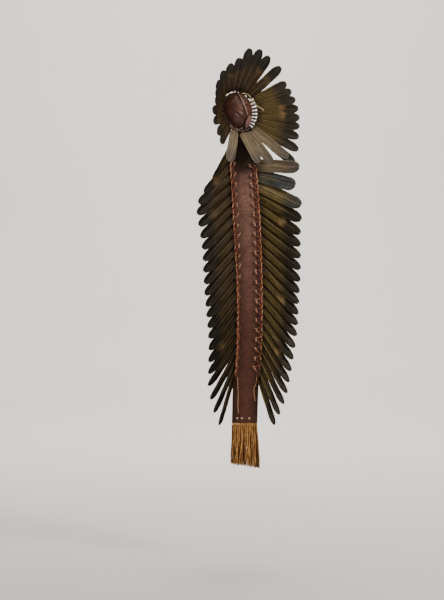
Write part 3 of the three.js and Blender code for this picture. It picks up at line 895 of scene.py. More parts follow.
@dataclass
class Feather:
    """One feather: a tapered quill with a cambered vane of barbs, parted here and there.

    Rows of barbs run along the vane, with half_columns steps from the quill to each edge. Lag is
    how far the barbs' ends lie before their roots, as a share of the vane's length. Sway is how
    far the quill wanders aside; ridge, ripple and curl are how far the vane stands off its plain
    form, barb by barb, in waves and at its edges, and parting how far parted barbs stand apart.
    """

    root: np.ndarray
    along: np.ndarray
    across: np.ndarray
    sizes: FeatherSizes
    seed: float
    rows: int = 86
    half_columns: int = 7
    lag: float = 0.17
    sway: float = 0.6 * MM
    ridge: float = 0.07 * MM
    ripple: float = 0.28 * MM
    curl: float = 0.5 * MM
    parting: float = 0.05 * MM

    def __post_init__(self) -> None:
        """Works out the side that the quill stands up on."""
        self.out = unit(np.cross(self.along, self.across))
        self.chance = np.random.default_rng(int(self.seed * 1e6) + 5)

    def spine(self, distance: np.ndarray) -> np.ndarray:
        """Follows the quill's bent line.

        Args:
            distance: distances from the root.

        Returns:
            The point at each distance.
        """
        share = distance / self.sizes.length
        bow = self.sizes.bow * share ** 2
        sway = self.sway * wander(share, self.seed, 0.5) * share
        return (self.root + np.outer(distance, self.along) + np.outer(bow, self.out)
                + np.outer(sway, self.across))

    def half_width(self, share: np.ndarray) -> np.ndarray:
        """Finds how wide the vane is to one side of the quill.

        Args:
            share: places in shares of the vane's length.

        Returns:
            The half width at each place.
        """
        narrow = 0.08 if self.sizes.slant else 0.2
        body = 1 - narrow * (1 - np.clip(share / 0.45, 0, 1)) ** 2
        foot = 0.02 if self.sizes.slant else 0.07
        start = np.sqrt(np.clip(1 - (1 - np.clip(share / foot, 0, 1)) ** 2, 0.03, 1))
        end = np.sqrt(np.clip(1 - (np.clip(share - 0.8, 0, 1) / 0.2) ** 2, 0.004, 1))
        ragged = 1 + 0.022 * wander(share, self.seed + 0.3, 3.0)
        return self.sizes.width / 2 * body * start * end * ragged

    def splits(self) -> list[tuple[int, int, int, float]]:
        """Picks where barbs have parted.

        Returns:
            The side, the row, the first open column and the share left open at the edge of each.
        """
        picked = []
        for side in (-1, 1):
            for _ in range(int(self.chance.integers(0, 3))):
                row = int(self.chance.integers(int(self.rows * 0.25), int(self.rows * 0.9)))
                first = int(self.chance.integers(self.half_columns - 3, self.half_columns))
                picked.append((side, row, first, float(self.chance.uniform(0.1, 0.3))))
        return picked

    def add_to(self, mesher: Mesher, vane: int = 0, quill: int = 1) -> None:
        """Adds the feather to a mesh.

        Args:
            mesher: the mesh.
            vane: material slot of the vane.
            quill: material slot of the quill.
        """
        sizes = self.sizes
        span = sizes.length - sizes.stub
        rows, half = self.rows, self.half_columns
        step = np.linspace(0, 1, rows)
        inner = 0.97 * step
        outer = np.minimum(step + self.lag * ease(step / 0.14) * (1 - step) ** 0.7, 1.0)
        columns = np.arange(-half, half + 1)
        reach = np.abs(columns) / half
        side = np.sign(columns)
        lead = np.zeros((rows, len(columns)))
        lift = np.zeros((rows, len(columns)))
        keep = np.ones((rows - 1, len(columns) - 1), bool)
        for sign, row, first, parted in self.splits():
            apart = (np.abs(columns) - first) / (half - first)
            closed = np.where((side == sign) & (apart >= 0), 1 - parted * apart, 0)
            offset = np.arange(rows) - row
            fall = np.where(offset >= 0, np.exp(-offset / 7.0), -np.exp((offset + 1) / 7.0))
            lead -= np.outer(fall, closed) * span / rows / 2
            step_up = np.exp(-np.abs(offset) / 4.0) * np.sign(offset + 0.5)
            lift += np.outer(step_up, closed) * self.parting
            for column in range(len(columns) - 1):
                both = min(abs(columns[column]), abs(columns[column + 1]))
                if both >= first and sign * (columns[column] + columns[column + 1]) > 0:
                    keep[row - 1, column] = False
        share = inner[:, None] + (outer - inner)[:, None] * reach[None, :] ** 0.9
        widths = self.half_width(outer)
        sideways = side[None, :] * reach[None, :] ** 0.93 * widths[:, None]
        slant = sizes.slant * (1 - step[:, None]) ** 4 * np.clip(columns, 0, half)[None, :] / half
        distance = sizes.stub + share * span + lead - slant
        ridge = self.ridge * np.sin(step * rows * 1.9)[:, None] * np.sqrt(reach)[None, :]
        ripple = self.ripple * wander(share, self.seed, 2.2) * reach[None, :] ** 2
        curl = (self.curl * wander(share, self.seed + side[None, :] * 0.21, 0.8)
                * reach[None, :] ** 1.5)
        camber = -sizes.camber * reach[None, :] ** 1.25 * (widths / widths.max())[:, None]
        height = camber + ridge + ripple + curl + lift
        flat = self.spine(distance.ravel()).reshape(rows, len(columns), 3)
        grid = flat + sideways[..., None] * self.across + height[..., None] * self.out
        places = np.stack([np.broadcast_to(side * reach, share.shape), share,
                           np.full(share.shape, self.seed)], axis=-1)
        thick = sizes.thickness * (1 - 0.55 * reach ** 2)
        thickness = np.broadcast_to(thick[None, :], share.shape).ravel()
        mesher.add_sheet(grid, places, thickness, vane, keep)
        self.add_quill(mesher, quill)

    def add_quill(self, mesher: Mesher, finish: int) -> None:
        """Adds the quill, from its blunt stub to a thin end near the tip.

        Args:
            mesher: the mesh.
            finish: material slot of the quill.
        """
        sizes = self.sizes
        end = sizes.stub + 0.965 * (sizes.length - sizes.stub)
        distance = np.concatenate([[0, 0.2 * MM], np.linspace(0.8 * MM, end, 26)])
        share = distance / end
        radii = (sizes.quill * (1 - share) ** 0.8 + sizes.quill_tip * share) / 2
        radii[0] *= 0.55
        radii *= 1 + 0.05 * wander(share, self.seed, 6.0)
        mesher.add_tube(self.spine(distance), radii, 8, finish, self.seed, up=self.out)


# Cap and crown


@dataclass(frozen=True)
class Fold:
    """A soft ridge of the cap, between two places in shares of its radius."""

    from_across: float
    from_up: float
    to_across: float
    to_up: float
    width: float
    height: float


@dataclass
class Cap:
    """Leather skull cap: a shallow dome with a short skirt, open towards the head.

    The folds are the solid's own, the creases between them are for the eye only and are
    darkened with painted shade.
    """

    radius: float = 27.5 * MM
    narrow: float = 0.89
    height: float = 20 * MM
    skirt: float = 12 * MM
    wall: float = 1.5 * MM
    yaw: float = 32.0
    pitch: float = 15.0
    fold_height: float = 1.2 * MM
    fold_fade: float = 0.12
    folds: tuple[Fold, ...] = (
        Fold(-0.3, 0.18, 0.75, 0.1, 0.1, 0.9),
        Fold(-0.1, 0.45, 0.7, 0.34, 0.1, 0.8),
        Fold(-0.5, 0.05, 0.15, -0.3, 0.13, 1.0),
        Fold(-0.55, -0.4, 0.3, -0.62, 0.12, 0.6),
        Fold(-0.7, 0.35, -0.2, 0.7, 0.11, 0.7),
    )
    creases: tuple[Fold, ...] = (
        Fold(-0.52, 0.30, 0.57, 0.01, 0.05, -0.9),
        Fold(0.23, 0.65, 0.8, 0.34, 0.045, -0.8),
        Fold(0.0, 0.52, 0.72, 0.17, 0.045, -0.9),
        Fold(-0.74, -0.18, -0.03, -0.69, 0.055, -0.9),
        Fold(-0.6, 0.04, 0.38, -0.3, 0.045, -0.6),
    )
    stitches: int = 84
    sides: int = 160
    skirt_rings: int = 9
    dome_rings: int = 80

    def __post_init__(self) -> None:
        """Works out the cap's own directions."""
        yaw, pitch = math.radians(self.yaw), math.radians(self.pitch)
        self.axis = np.array([math.sin(yaw) * math.cos(pitch), -math.cos(yaw) * math.cos(pitch),
                              math.sin(pitch)])
        self.across = np.array([math.cos(yaw), math.sin(yaw), 0.0])
        self.up = -np.cross(self.across, self.axis)

    def radial(self, turn: float) -> np.ndarray:
        """Returns the direction out from the axis at a turn in degrees from the top."""
        angle = math.radians(turn)
        return self.up * math.cos(angle) + self.across * math.sin(angle)

    def rim(self, turn: np.ndarray | float, inset: float = 0.0) -> np.ndarray:
        """Finds points of the oval rim, or of a smaller one inside it.

        Args:
            turn: degrees from the top, clockwise seen from behind, one or many.
            inset: distance inside the rim.

        Returns:
            The point at each turn.
        """
        angle = np.radians(turn)
        upwards = (self.radius - inset) * np.cos(angle)
        sideways = (self.radius * self.narrow - inset) * np.sin(angle)
        return np.multiply.outer(upwards, self.up) + np.multiply.outer(sideways, self.across)

    def rise(self, across: np.ndarray, up: np.ndarray, creased: bool = False) -> np.ndarray:
        """Finds how far the folds lift the leather.

        Args:
            across: places across the cap, in shares of its radius.
            up: places up the cap, in shares of its radius.
            creased: whether the narrow creases count as well.

        Returns:
            The lift at each place.
        """
        rise = np.zeros(np.broadcast(across, up).shape)
        for fold in self.folds + (self.creases if creased else ()):
            run = np.array([fold.to_across - fold.from_across, fold.to_up - fold.from_up])
            off_across, off_up = across - fold.from_across, up - fold.from_up
            share = np.clip((off_across * run[0] + off_up * run[1]) / (run @ run), 0, 1)
            aside = np.hypot(off_across - share * run[0], off_up - share * run[1])
            fade = np.sin(math.pi * np.clip(share, self.fold_fade, 1 - self.fold_fade))
            rise = rise + fold.height * fade * np.exp(-(aside / fold.width) ** 2)
        return self.fold_height * rise

    def over(self, across: float, up: float, lift: float) -> np.ndarray:
        """Finds a point over the cap's outside.

        Args:
            across: place across the cap, in shares of its radius.
            up: place up the cap, in shares of its radius.
            lift: distance off the cap along its axis.

        Returns:
            The point.
        """
        share = min(math.hypot(across, up), 1.0)
        height = self.height * math.sqrt(1 - share ** 2) + float(self.rise(across, up)) + lift
        return (self.across * across * self.radius * self.narrow + self.up * up * self.radius
                + self.axis * height)

    def build(self, finishes: Finishes) -> bpy.types.Object:
        """Builds the dome, its skirt and its rolled rim.

        Args:
            finishes: the headdress's materials.

        Returns:
            The cap.
        """
        turns = np.linspace(0, 360, self.sides, endpoint=False)
        cos, sin = np.cos(np.radians(turns)), np.sin(np.radians(turns))
        inset = self.wall / 2
        rim = self.rim(turns, inset)
        rings, places = [], []
        for height in np.linspace(-self.skirt, 0, self.skirt_rings, endpoint=False):
            share = -height / self.skirt
            flare = 1 + 0.013 * np.cos(3 * np.radians(turns) + 1) * share ** 2
            rings.append(rim * flare[:, None] + self.axis * height)
            places.append(np.stack([np.zeros(self.sides), np.full(self.sides, -share), sin], 1))
        for latitude in np.linspace(0, 88.8, self.dome_rings):
            angle = math.radians(latitude)
            share = math.cos(angle)
            rise = self.rise(share * sin, share * cos, creased=True)
            # Crease depth, kept as the place's across, darkens the leather in the creases: painted
            # shade.
            crease = (self.rise(share * sin, share * cos) - rise) / self.fold_height
            fine = 0.16 * MM * np.sin(9 * share * sin + 17 * share * cos
                                      + 2 * np.sin(5 * share * sin))
            height = (self.height - inset) * math.sin(angle) + rise + fine
            rings.append(rim * share + np.outer(height, self.axis))
            places.append(np.stack([crease, np.full(self.sides, share), share * cos], 1))
        mesher = Mesher()
        mesher.add_sheet(np.array(rings), np.array(places), self.wall, wrap=True)
        top = self.axis * (self.height - inset + float(self.rise(0.0, 0.0, creased=True)))
        mesher.add_tube(np.array([top - self.axis * inset, top + self.axis * inset]), 0.9 * MM, 12)
        self.add_seam(mesher)
        piece = mesher.to_object("cap_look", [finishes.cap, finishes.binding])
        return settle(piece, "cap_leather", "cap")

    def add_seam(self, mesher: Mesher) -> None:
        """Adds the whipped thread round the rim, where the quills are bound on.

        Args:
            mesher: the mesh.
        """
        for i in range(self.stitches):
            middle = 360 * (i + 0.5) / self.stitches
            ends = [self.rim(middle - 1.3, -0.05 * MM) + self.axis * 1.0 * MM,
                    self.rim(middle, -0.32 * MM),
                    self.rim(middle + 1.3, -0.05 * MM) - self.axis * 1.2 * MM]
            mesher.add_tube(spline(np.array(ends), 5), 0.24 * MM, 5, 1, i / self.stitches)


@dataclass(frozen=True)
class Fan:
    """Feathers set side by side round the cap, from one turn to another.

    Twist turns the vanes about their quills, in degrees. Stub is a share of the crown's stub,
    rise how far in front of the rim the quills are set, as a share of the quill, and bare the
    share of the stub that no down covers.
    """

    name: str
    start: float
    end: float
    count: int
    twist: float
    stub: float
    rise: float = 0.0
    bare: float = 1.0

    def turns(self) -> list[float]:
        """Spaces the feathers evenly.

        Returns:
            The turn of each feather, in degrees from the top.
        """
        if self.count == 1:
            return [self.start]
        return [float(turn) for turn in np.linspace(self.start, self.end, self.count)]


@dataclass(frozen=True)
class Reach:
    """Length and lean of the crown's feathers at a turn, as shares of the named sizes.

    Veer is how many degrees the feather points clockwise of its turn.
    """

    turn: float
    reach: float
    lean: float
    veer: float = 0.0


@dataclass
class Crown:
    """The cone of feathers round the cap, with the thread that holds their quills apart.

    Wrap is the radius of the wrapping on each stub, ties the number of tie ends at the nape.
    """

    cap: Cap
    length: float = 66 * MM
    width: float = 14.5 * MM
    stub: float = 8.5 * MM
    quill: float = 1.7 * MM
    bow: float = 3.2 * MM
    lean: float = 35.0
    thread: float = 1.1 * MM
    wrap: float = 0.6 * MM
    wrap_pitch: float = 0.95 * MM
    ties: int = 26
    tie_turns: tuple[float, float] = (144.0, 216.0)
    tie_reach: tuple[float, float] = (5.2 * MM, 7.4 * MM)
    fans: tuple[Fan, ...] = (
        Fan("left", -140, -62, 7, twist=-24, stub=0.55, bare=0.55),
        Fan("crest", -44, -4, 3, twist=-20, stub=0.55, bare=0.5),
        Fan("top", 10, 32, 3, twist=-15, stub=0.65, bare=0.2),
        Fan("lone", 49, 49, 1, twist=-5, stub=0.9, bare=0.35),
        Fan("right", 66, 114, 6, twist=15, stub=1.0),
        Fan("low", 124, 143, 3, twist=24, stub=1.1, bare=0.8),
        Fan("nape", 149, 202, 4, twist=15, stub=1.2, rise=1.8, bare=0.95),
    )
    reaches: tuple[Reach, ...] = (
        Reach(-140, 0.95, 0.86, 5),
        Reach(-127, 0.95, 1.0),
        Reach(-114, 0.95, 1.14),
        Reach(-101, 0.9, 1.27),
        Reach(-88, 0.86, 1.46),
        Reach(-75, 0.82, 1.5),
        Reach(-24, 0.8, 1.4),
        Reach(-4, 0.82, 1.18),
        Reach(10, 1.05, 1.0),
        Reach(21, 1.11, 1.0),
        Reach(32, 1.08, 1.0),
        Reach(49, 1.08, 1.0),
        Reach(66, 0.98, 1.0),
        Reach(95, 1.08, 1.0),
        Reach(114, 1.13, 1.0),
        Reach(124, 1.18, 0.92),
        Reach(143, 1.4, 0.62),
        Reach(149, 1.2, 0.68, -5.5),
        Reach(167, 1.1, 0.66, -6),
        Reach(184, 0.99, 0.62, -14),
        Reach(202, 1.16, 0.6, 8),
    )

    def feather(self, turn: float, fan: Fan) -> Feather:
        """Places the feather at a turn.

        Args:
            turn: degrees from the top, clockwise seen from behind.
            fan: the fan that it belongs to.

        Returns:
            The feather.
        """
        reach = from_table(self.reaches, "turn", turn, "reach")
        lean = math.radians(self.lean * from_table(self.reaches, "turn", turn, "lean"))
        level = self.cap.radial(turn + from_table(self.reaches, "turn", turn, "veer"))
        along = level * math.cos(lean) + self.cap.axis * math.sin(lean)
        around = -np.cross(self.cap.axis, level)
        across = turned(around, along, math.radians(fan.twist))
        off = SEAT_GAP + self.quill / 2 * math.sin(lean)
        root = (self.cap.rim(turn) + self.cap.radial(turn) * off
                + self.cap.axis * fan.rise * self.quill)
        sizes = FeatherSizes(self.length * reach, self.width, self.stub * fan.stub * fan.bare,
                             self.quill, self.bow)
        return Feather(root, along, across, sizes, seed=((turn + 400) * 0.0137) % 1)

    def build(self, finishes: Finishes) -> None:
        """Builds every feather and the thread.

        Args:
            finishes: the headdress's materials.
        """
        crossings = []
        # Fans other than the nape, right and low take the darker copy of the vane: painted shade.
        plumes = {"nape": Plume.NAPE, "right": Plume.DARK, "low": Plume.DARK}
        for fan in self.fans:
            plume = plumes.get(fan.name, Plume.CROWN_SHADE)
            for i, turn in enumerate(fan.turns()):
                feather = self.feather(turn, fan)
                mesher = Mesher()
                feather.add_to(mesher)
                self.add_binding(mesher, feather)
                node = f"feather_{fan.name}_{i + 1}"
                materials = [finishes.vanes[plume], finishes.quills[plume], finishes.binding]
                piece = mesher.to_object(f"{node}_look", materials)
                settle(piece, "nape_feather" if plume is Plume.NAPE else "feather", node)
                crossings.append((turn % 360, feather))
        crossings.sort(key=lambda item: item[0])
        self.build_thread([feather for _, feather in crossings], finishes)
        self.build_ties(finishes)

    def add_binding(self, mesher: Mesher, feather: Feather) -> None:
        """Adds the dark wrapping where the quill is bound to the cap.

        Args:
            mesher: the mesh.
            feather: the feather that is bound.
        """
        start, end = 0.4 * MM, max(feather.sizes.stub - 0.6 * MM, 2.4 * MM)
        turns = round((end - start) / self.wrap_pitch)
        angles = np.linspace(0, 2 * math.pi * turns, turns * 10)
        distance = np.linspace(start, end, len(angles))
        radius = (self.quill + self.wrap) / 2
        path = (feather.spine(distance) + radius * (np.outer(np.cos(angles), feather.across)
                                                    + np.outer(np.sin(angles), feather.out)))
        mesher.add_tube(path, self.wrap, 5, 2, feather.seed)

    def build_thread(self, feathers: Sequence[Feather], finishes: Finishes) -> None:
        """Builds the thread that runs from quill to quill round the cap.

        Args:
            feathers: the crown's feathers, in order round the cap.
            finishes: the headdress's materials.
        """
        mesher = Mesher()
        around = self.quill / 2 * 0.86 + self.thread / 2
        points = []
        for feather in feathers:
            along = feather.sizes.stub * (0.6 + 0.07 * math.sin(31 * feather.seed))
            middle = feather.spine(np.array([along]))[0]
            loop = np.linspace(0, 2 * math.pi, 12)
            coil = (middle + np.outer(np.linspace(-0.25, 0.25, 12) * MM, feather.along)
                    + around * (np.outer(np.cos(loop), feather.across)
                                + np.outer(np.sin(loop), feather.out)))
            mesher.add_tube(coil, self.thread / 2, 5, 0, feather.seed)
            points.append(middle + around * feather.out)
        points.append(points[0])
        for i, (start, end) in enumerate(zip(points, points[1:])):
            middle = (start + end) / 2
            middle = middle - unit(middle) * np.linalg.norm(end - start) * 0.03
            line = spline(np.array([start, middle, end]), 7)
            mesher.add_tube(line, self.thread / 2, 5, 0, i * 0.037)
        settle(mesher.to_object("crown_thread", [finishes.thread]), "thong")

    def build_ties(self, finishes: Finishes) -> bpy.types.Object:
        """Builds the short tie ends that hang from the rim over the nape.

        Args:
            finishes: the headdress's materials.

        Returns:
            The ties, all in one piece.
        """
        chance = np.random.default_rng(3)
        mesher = Mesher()
        share = np.linspace(0, 1, 8)
        for i, turn in enumerate(np.linspace(*self.tie_turns, self.ties)):
            stand = (0.6 + 0.5 * (i % 2)) * MM
            start = self.cap.rim(float(turn), -0.8 * MM) + self.cap.axis * stand
            reach = chance.uniform(*self.tie_reach)
            fall = unit(self.cap.radial(float(turn)) * 0.8 + np.array([0.0, -0.25, -0.9]))
            sway = np.outer(wander(share, i * 0.17, 0.7) * 0.5 * MM * share, self.cap.across)
            path = start + np.outer(share * reach, fall) + sway
            radii = 0.55 * MM * (1 - 0.3 * share)
            mesher.add_tube(path, radii, 6, int(i % 3 == 1), i / self.ties)
        return settle(mesher.to_object("nape_ties", [finishes.binding, finishes.knot]), "thong")


# Trail


@dataclass(frozen=True)
class BandSection:
    """Section of the band: offset in shares of its width, depth in shares of its sway."""

    drop: float
    offset: float
    depth: float
    width: float
    round: float


@dataclass
class Band:
    """Long leather strip that hangs from the nape.

    Tuck is how far the strip's head runs up under the cap, at its left edge and at its right.
    Crease_depth is for the close creases half way down, slack_depth for the slow waves.
    """

    width: float = 39 * MM
    thickness: float = 1.8 * MM
    top: float = -30.4 * MM
    length: float = 437 * MM
    sway: float = 20 * MM
    roundness: float = 3 * MM
    tuck: tuple[float, float] = (1.2 * MM, 7.2 * MM)
    crease_depth: float = 0.3 * MM
    slack_depth: float = 0.4 * MM
    sections: tuple[BandSection, ...] = (
        BandSection(0.0, 0.17, 0.0, 0.72, 1.5),
        BandSection(0.05, 0.175, 0.4, 0.86, 1.2),
        BandSection(0.12, 0.235, 0.68, 0.96, 1.0),
        BandSection(0.24, 0.33, 0.95, 1.0, 1.0),
        BandSection(0.4, 0.42, 1.0, 1.0, 1.2),
        BandSection(0.55, 0.46, 0.9, 1.0, 1.2),
        BandSection(0.74, 0.445, 0.7, 1.0, 1.0),
        BandSection(0.88, 0.34, 0.55, 0.99, 0.8),
        BandSection(1.0, 0.3, 0.5, 0.98, 0.6),
    )

    def half(self, drop: float) -> float:
        """Returns half the band's width at a drop, in shares of its length."""
        return self.width / 2 * smooth_from_table(self.sections, "drop", drop, "width")

    def point(self, drop: float, side: float, lift: float) -> np.ndarray:
        """Finds a point in front of the band.

        Args:
            drop: share of the band's length down from its top.
            side: place across the band, from -1 to 1.
            lift: distance from its front face towards the viewer.

        Returns:
            The point.
        """
        offset = self.width * smooth_from_table(self.sections, "drop", drop, "offset")
        depth = self.sway * smooth_from_table(self.sections, "drop", drop, "depth")
        bulge = self.roundness * smooth_from_table(self.sections, "drop", drop, "round")
        return np.array([offset + side * self.half(drop), -depth + bulge * side ** 2 - lift,
                         self.top - drop * self.length])

    def build(self, finishes: Finishes) -> bpy.types.Object:
        """Builds the strip with its creases and rounded edges.

        Args:
            finishes: the headdress's materials.

        Returns:
            The band.
        """
        drops, sides = np.linspace(0, 1, 300), np.linspace(-1, 1, 33)
        inset = self.thickness / 2
        grid = np.zeros((len(drops), len(sides), 3))
        for i, drop in enumerate(drops):
            left, middle, right = (self.point(drop, side, 0.0) for side in (-1.0, 0.0, 1.0))
            bulge = (left[1] + right[1]) / 2 - middle[1]
            grid[i, :, 0] = middle[0] + sides * (right[0] - left[0]) / 2
            grid[i, :, 1] = middle[1] + bulge * sides ** 2 + inset
            grid[i, :, 2] = middle[2]
        down, across = np.meshgrid(drops, sides, indexing="ij")
        crease = np.sin(down * 150 + 2.2 * np.sin(across * 2.1 + down * 19)) * np.exp(
            -((down - 0.55) / 0.16) ** 2)
        slack = np.sin(down * 41 + across * 1.7) * 0.35 + np.sin(down * 23 - across * 2.6) * 0.4
        grid[..., 1] += self.crease_depth * crease
        grid[..., 1] += self.slack_depth * slack * (1 - 0.5 * np.abs(across))
        tuck = self.tuck[0] + (self.tuck[1] - self.tuck[0]) * ease((across + 0.3) / 1.3)
        grid[..., 2] += tuck * (1 - ease(down / 0.035))
        # The across in the places gives the band's leather its painted highlight down the middle
        # and painted shade at the edges.
        places = np.stack([across, down, np.zeros_like(down)], axis=-1)
        edge = np.clip((1 - np.abs(across)) / 0.06, 0, 1)
        thickness = self.thickness * (0.45 + 0.55 * np.sqrt(1 - (1 - edge) ** 2))
        mesher = Mesher()
        mesher.add_sheet(grid, places, thickness.ravel())
        piece = mesher.to_object("trail_band_look", [finishes.band])
        return settle(piece, "band_leather", "trail_band")


@dataclass(frozen=True)
class Lie:
    """How a trail feather lies: its angle below level and its lean to the viewer.

    Reach and width are shares of the feather's sizes, twist turns the vane about its quill.
    """

    down: float
    dip: float
    forward: float
    reach: float
    width: float
    twist: float


LEFT_LIES = (
    Lie(0.0, 62, 0.1, 0.62, 1.0, 15),
    Lie(0.07, 46, 0.28, 0.84, 1.1, 15),
    Lie(0.14, 42, 0.34, 0.9, 1.1, 15),
    Lie(0.3, 48, 0.36, 0.89, 1.05, 16),
    Lie(0.5, 51, 0.36, 0.93, 1.0, 20),
    Lie(0.68, 55, 0.32, 0.88, 1.0, 28),
    Lie(0.85, 57, 0.28, 0.95, 0.95, 44),
    Lie(0.93, 65, 0.24, 0.98, 0.9, 50),
    Lie(1.0, 75, 0.2, 0.97, 0.8, 56),
)
RIGHT_LIES = (
    Lie(0.0, 4, 0.2, 0.84, 1.5, 15),
    Lie(0.05, 17, 0.16, 0.76, 1.6, 15),
    Lie(0.1, 27, 0.14, 0.93, 1.5, 15),
    Lie(0.2, 36, 0.14, 0.95, 1.15, 15),
    Lie(0.4, 44, 0.14, 1.0, 1.05, 16),
    Lie(0.6, 49, 0.14, 0.99, 1.0, 20),
    Lie(0.76, 58, 0.16, 1.01, 0.95, 32),
    Lie(0.88, 64, 0.18, 1.01, 0.9, 40),
    Lie(1.0, 74, 0.2, 0.97, 0.9, 45),
)


@dataclass
class FeatherRow:
    """One side of the trail: the folded hem, its feathers and the thong that laces them.

    Bare is the share of the stub that no down covers. Along the hem's edge runs a second thong,
    edge_inset inside it, which moves in by edge_shift further down and waves by edge_wave.
    Knotted is the share of the lacing, from the top, that has knots.
    """

    side: Side
    band: Band
    lies: tuple[Lie, ...]
    first_drop: float
    thong_spread: float
    thong_end: float
    last_drop: float = 367 * MM
    hem_end: float = 3 * MM
    hem_width: float = 7.4 * MM
    hem_thickness: float = 1.5 * MM
    hem_overhang: float = 1.6 * MM
    length: float = 79 * MM
    width: float = 13.4 * MM
    count: int = 22
    stub: float = 2 * MM
    bare: float = 0.25
    quill: float = 1.5 * MM
    inset: float = 0.9 * MM
    bow: float = 2.4 * MM
    thong: float = 1.6 * MM
    thong_inset: float = 3 * MM
    edge_inset: float = 1.9 * MM
    edge_shift: float = 0.0
    edge_wave: float = 0.5 * MM
    knotted: float = 1.0

    @property
    def name(self) -> str:
        """The side's name."""
        return self.side.name.lower()

    def drop(self, down: float) -> float:
        """Returns the band's drop at a share of the way from the first feather to the last."""
        return (self.first_drop + (self.last_drop - self.first_drop) * down) / self.band.length

    def on_hem(self, drop: float, inwards: float, lift: float) -> np.ndarray:
        """Finds a point on the hem.

        Args:
            drop: share of the band's length.
            inwards: distance from the hem's outer edge towards the band's middle.
            lift: distance in front of the hem's back.

        Returns:
            The point.
        """
        half = self.band.half(drop)
        side = (half + self.hem_overhang - inwards) / half
        return self.band.point(drop, self.side.value * side, SEAT_GAP + lift)

    def feather(self, index: int) -> Feather:
        """Places one feather of the row.

        Args:
            index: its number, counted from the top.

        Returns:
            The feather.
        """
        down = index / (self.count - 1)
        sign = self.side.value
        dip, forward, reach, width, twist = (
            from_table(self.lies, "down", down, column)
            for column in ("dip", "forward", "reach", "width", "twist"))
        dip = math.radians(dip)
        along = unit(np.array([sign * math.cos(dip), -forward, -math.sin(dip)]))
        across = unit(np.cross(np.array([0.0, -1.0, 0.0]), along) * sign)
        across = turned(across, along, -sign * math.radians(twist))
        root = self.on_hem(self.drop(down), self.inset, self.hem_thickness / 2)
        slant = self.width * width / 2 * min(math.tan(dip), 1.5)
        sizes = FeatherSizes(self.length * reach, self.width * width, self.stub * self.bare,
                             self.quill, sign * self.bow, sign * FeatherSizes.camber, slant)
        return Feather(root, along, across, sizes, seed=(0.31 * sign + index * 0.0831 + 1) % 1)

    def plume(self, index: int) -> Plume:
        """Says which colouring a feather has: three at the top right are paler."""
        special = {0: Plume.NAPE, 1: Plume.GREY, 2: Plume.GOLD}
        # The left row takes the shaded copy of the vane: painted shade.
        return special.get(index, Plume.OLIVE) if self.side is Side.RIGHT else Plume.SHADED

    def build(self, finishes: Finishes) -> None:
        """Builds the hem, the feathers and the lacing.

        Args:
            finishes: the headdress's materials.
        """
        node = f"feather_row_{self.name}"
        settle(self.hem(finishes), "feather", node)
        for index in range(self.count):
            mesher = Mesher()
            self.feather(index).add_to(mesher)
            plume = self.plume(index)
            piece = mesher.to_object(f"trail_feather_{self.name}_{index + 1:02d}",
                                     [finishes.vanes[plume], finishes.quills[plume]])
            settle(piece, "feather", node)
        settle(self.lacing(finishes), "thong", f"lace_{self.name}")

    def hem(self, finishes: Finishes) -> bpy.types.Object:
        """Builds the folded strip that the quills are set in.

        Args:
            finishes: the headdress's materials.

        Returns:
            The hem.
        """
        ends = (self.drop(0) - self.hem_end / self.band.length,
                self.drop(1) + self.hem_end / self.band.length)
        drops = np.linspace(*ends, 220)
        inwards = np.linspace(0.05, 0.95, 9) * self.hem_width
        middle = self.hem_thickness / 2
        grid = np.array([[self.on_hem(drop, inward, middle) for inward in inwards]
                         for drop in drops])
        down, across = np.meshgrid(drops, np.linspace(-1, 1, len(inwards)), indexing="ij")
        way = (down - self.drop(0)) / (self.drop(1) - self.drop(0))
        pucker = np.cos(way * 2 * math.pi * (self.count - 1))
        grid[..., 1] += 0.18 * MM * pucker * (1 - across ** 2)
        thickness = self.hem_thickness * np.sqrt(1 - 0.8 * across ** 4)
        mesher = Mesher()
        mesher.add_sheet(grid, np.stack([across, down, np.zeros_like(down)], -1),
                         thickness.ravel())
        return mesher.to_object(f"hem_{self.name}_look", [finishes.hem])

    def lace_point(self, down: float, inwards: float) -> np.ndarray:
        """Returns a point of the lace's route over the hem."""
        return self.on_hem(self.drop(down), inwards, self.hem_thickness + SEAT_GAP + self.thong / 2)

    def lacing(self, finishes: Finishes) -> bpy.types.Object:
        """Builds the twisted thong that zigzags over the hem, and the one along its edge.

        Args:
            finishes: the headdress's materials.

        Returns:
            The lacing.
        """
        inner = self.thong_inset + self.thong_spread
        bends = []
        for i in range(self.count):
            bends.append(self.lace_point((i + 0.1) / self.count, inner))
            bends.append(self.lace_point((i + 0.7) / self.count, self.thong_inset))
        bends.append(self.lace_point(1.0, self.thong_end))
        mesher = Mesher()
        self.add_twist(mesher, spline(np.array(bends), 900), self.thong * 0.58, 1.1, 0.0)
        last_knot = self.knotted * len(bends)
        for i, bend in enumerate(bends[:-1]):
            if i % 2 == 0 and i < last_knot:
                self.add_knot(mesher, bend, i)
        edge = []
        for i, down in enumerate(np.linspace(0.0, 0.985, 4 * self.count)):
            inwards = self.edge_inset + self.edge_shift * float(ease((down - 0.35) / 0.3))
            wave = self.edge_wave * math.cos(i * math.pi / 2)
            out = 0.8 * self.edge_wave * math.sin(i * math.pi / 2)
            edge.append(self.lace_point(down, inwards + wave) + np.array([0.0, -out, 0.0]))
        self.add_twist(mesher, spline(np.array(edge), 900), self.thong * 0.74, 1.9, 0.5, (1, 0))
        return mesher.to_object(f"lace_{self.name}_look", [finishes.thong, finishes.edging,
                                                           finishes.knot])

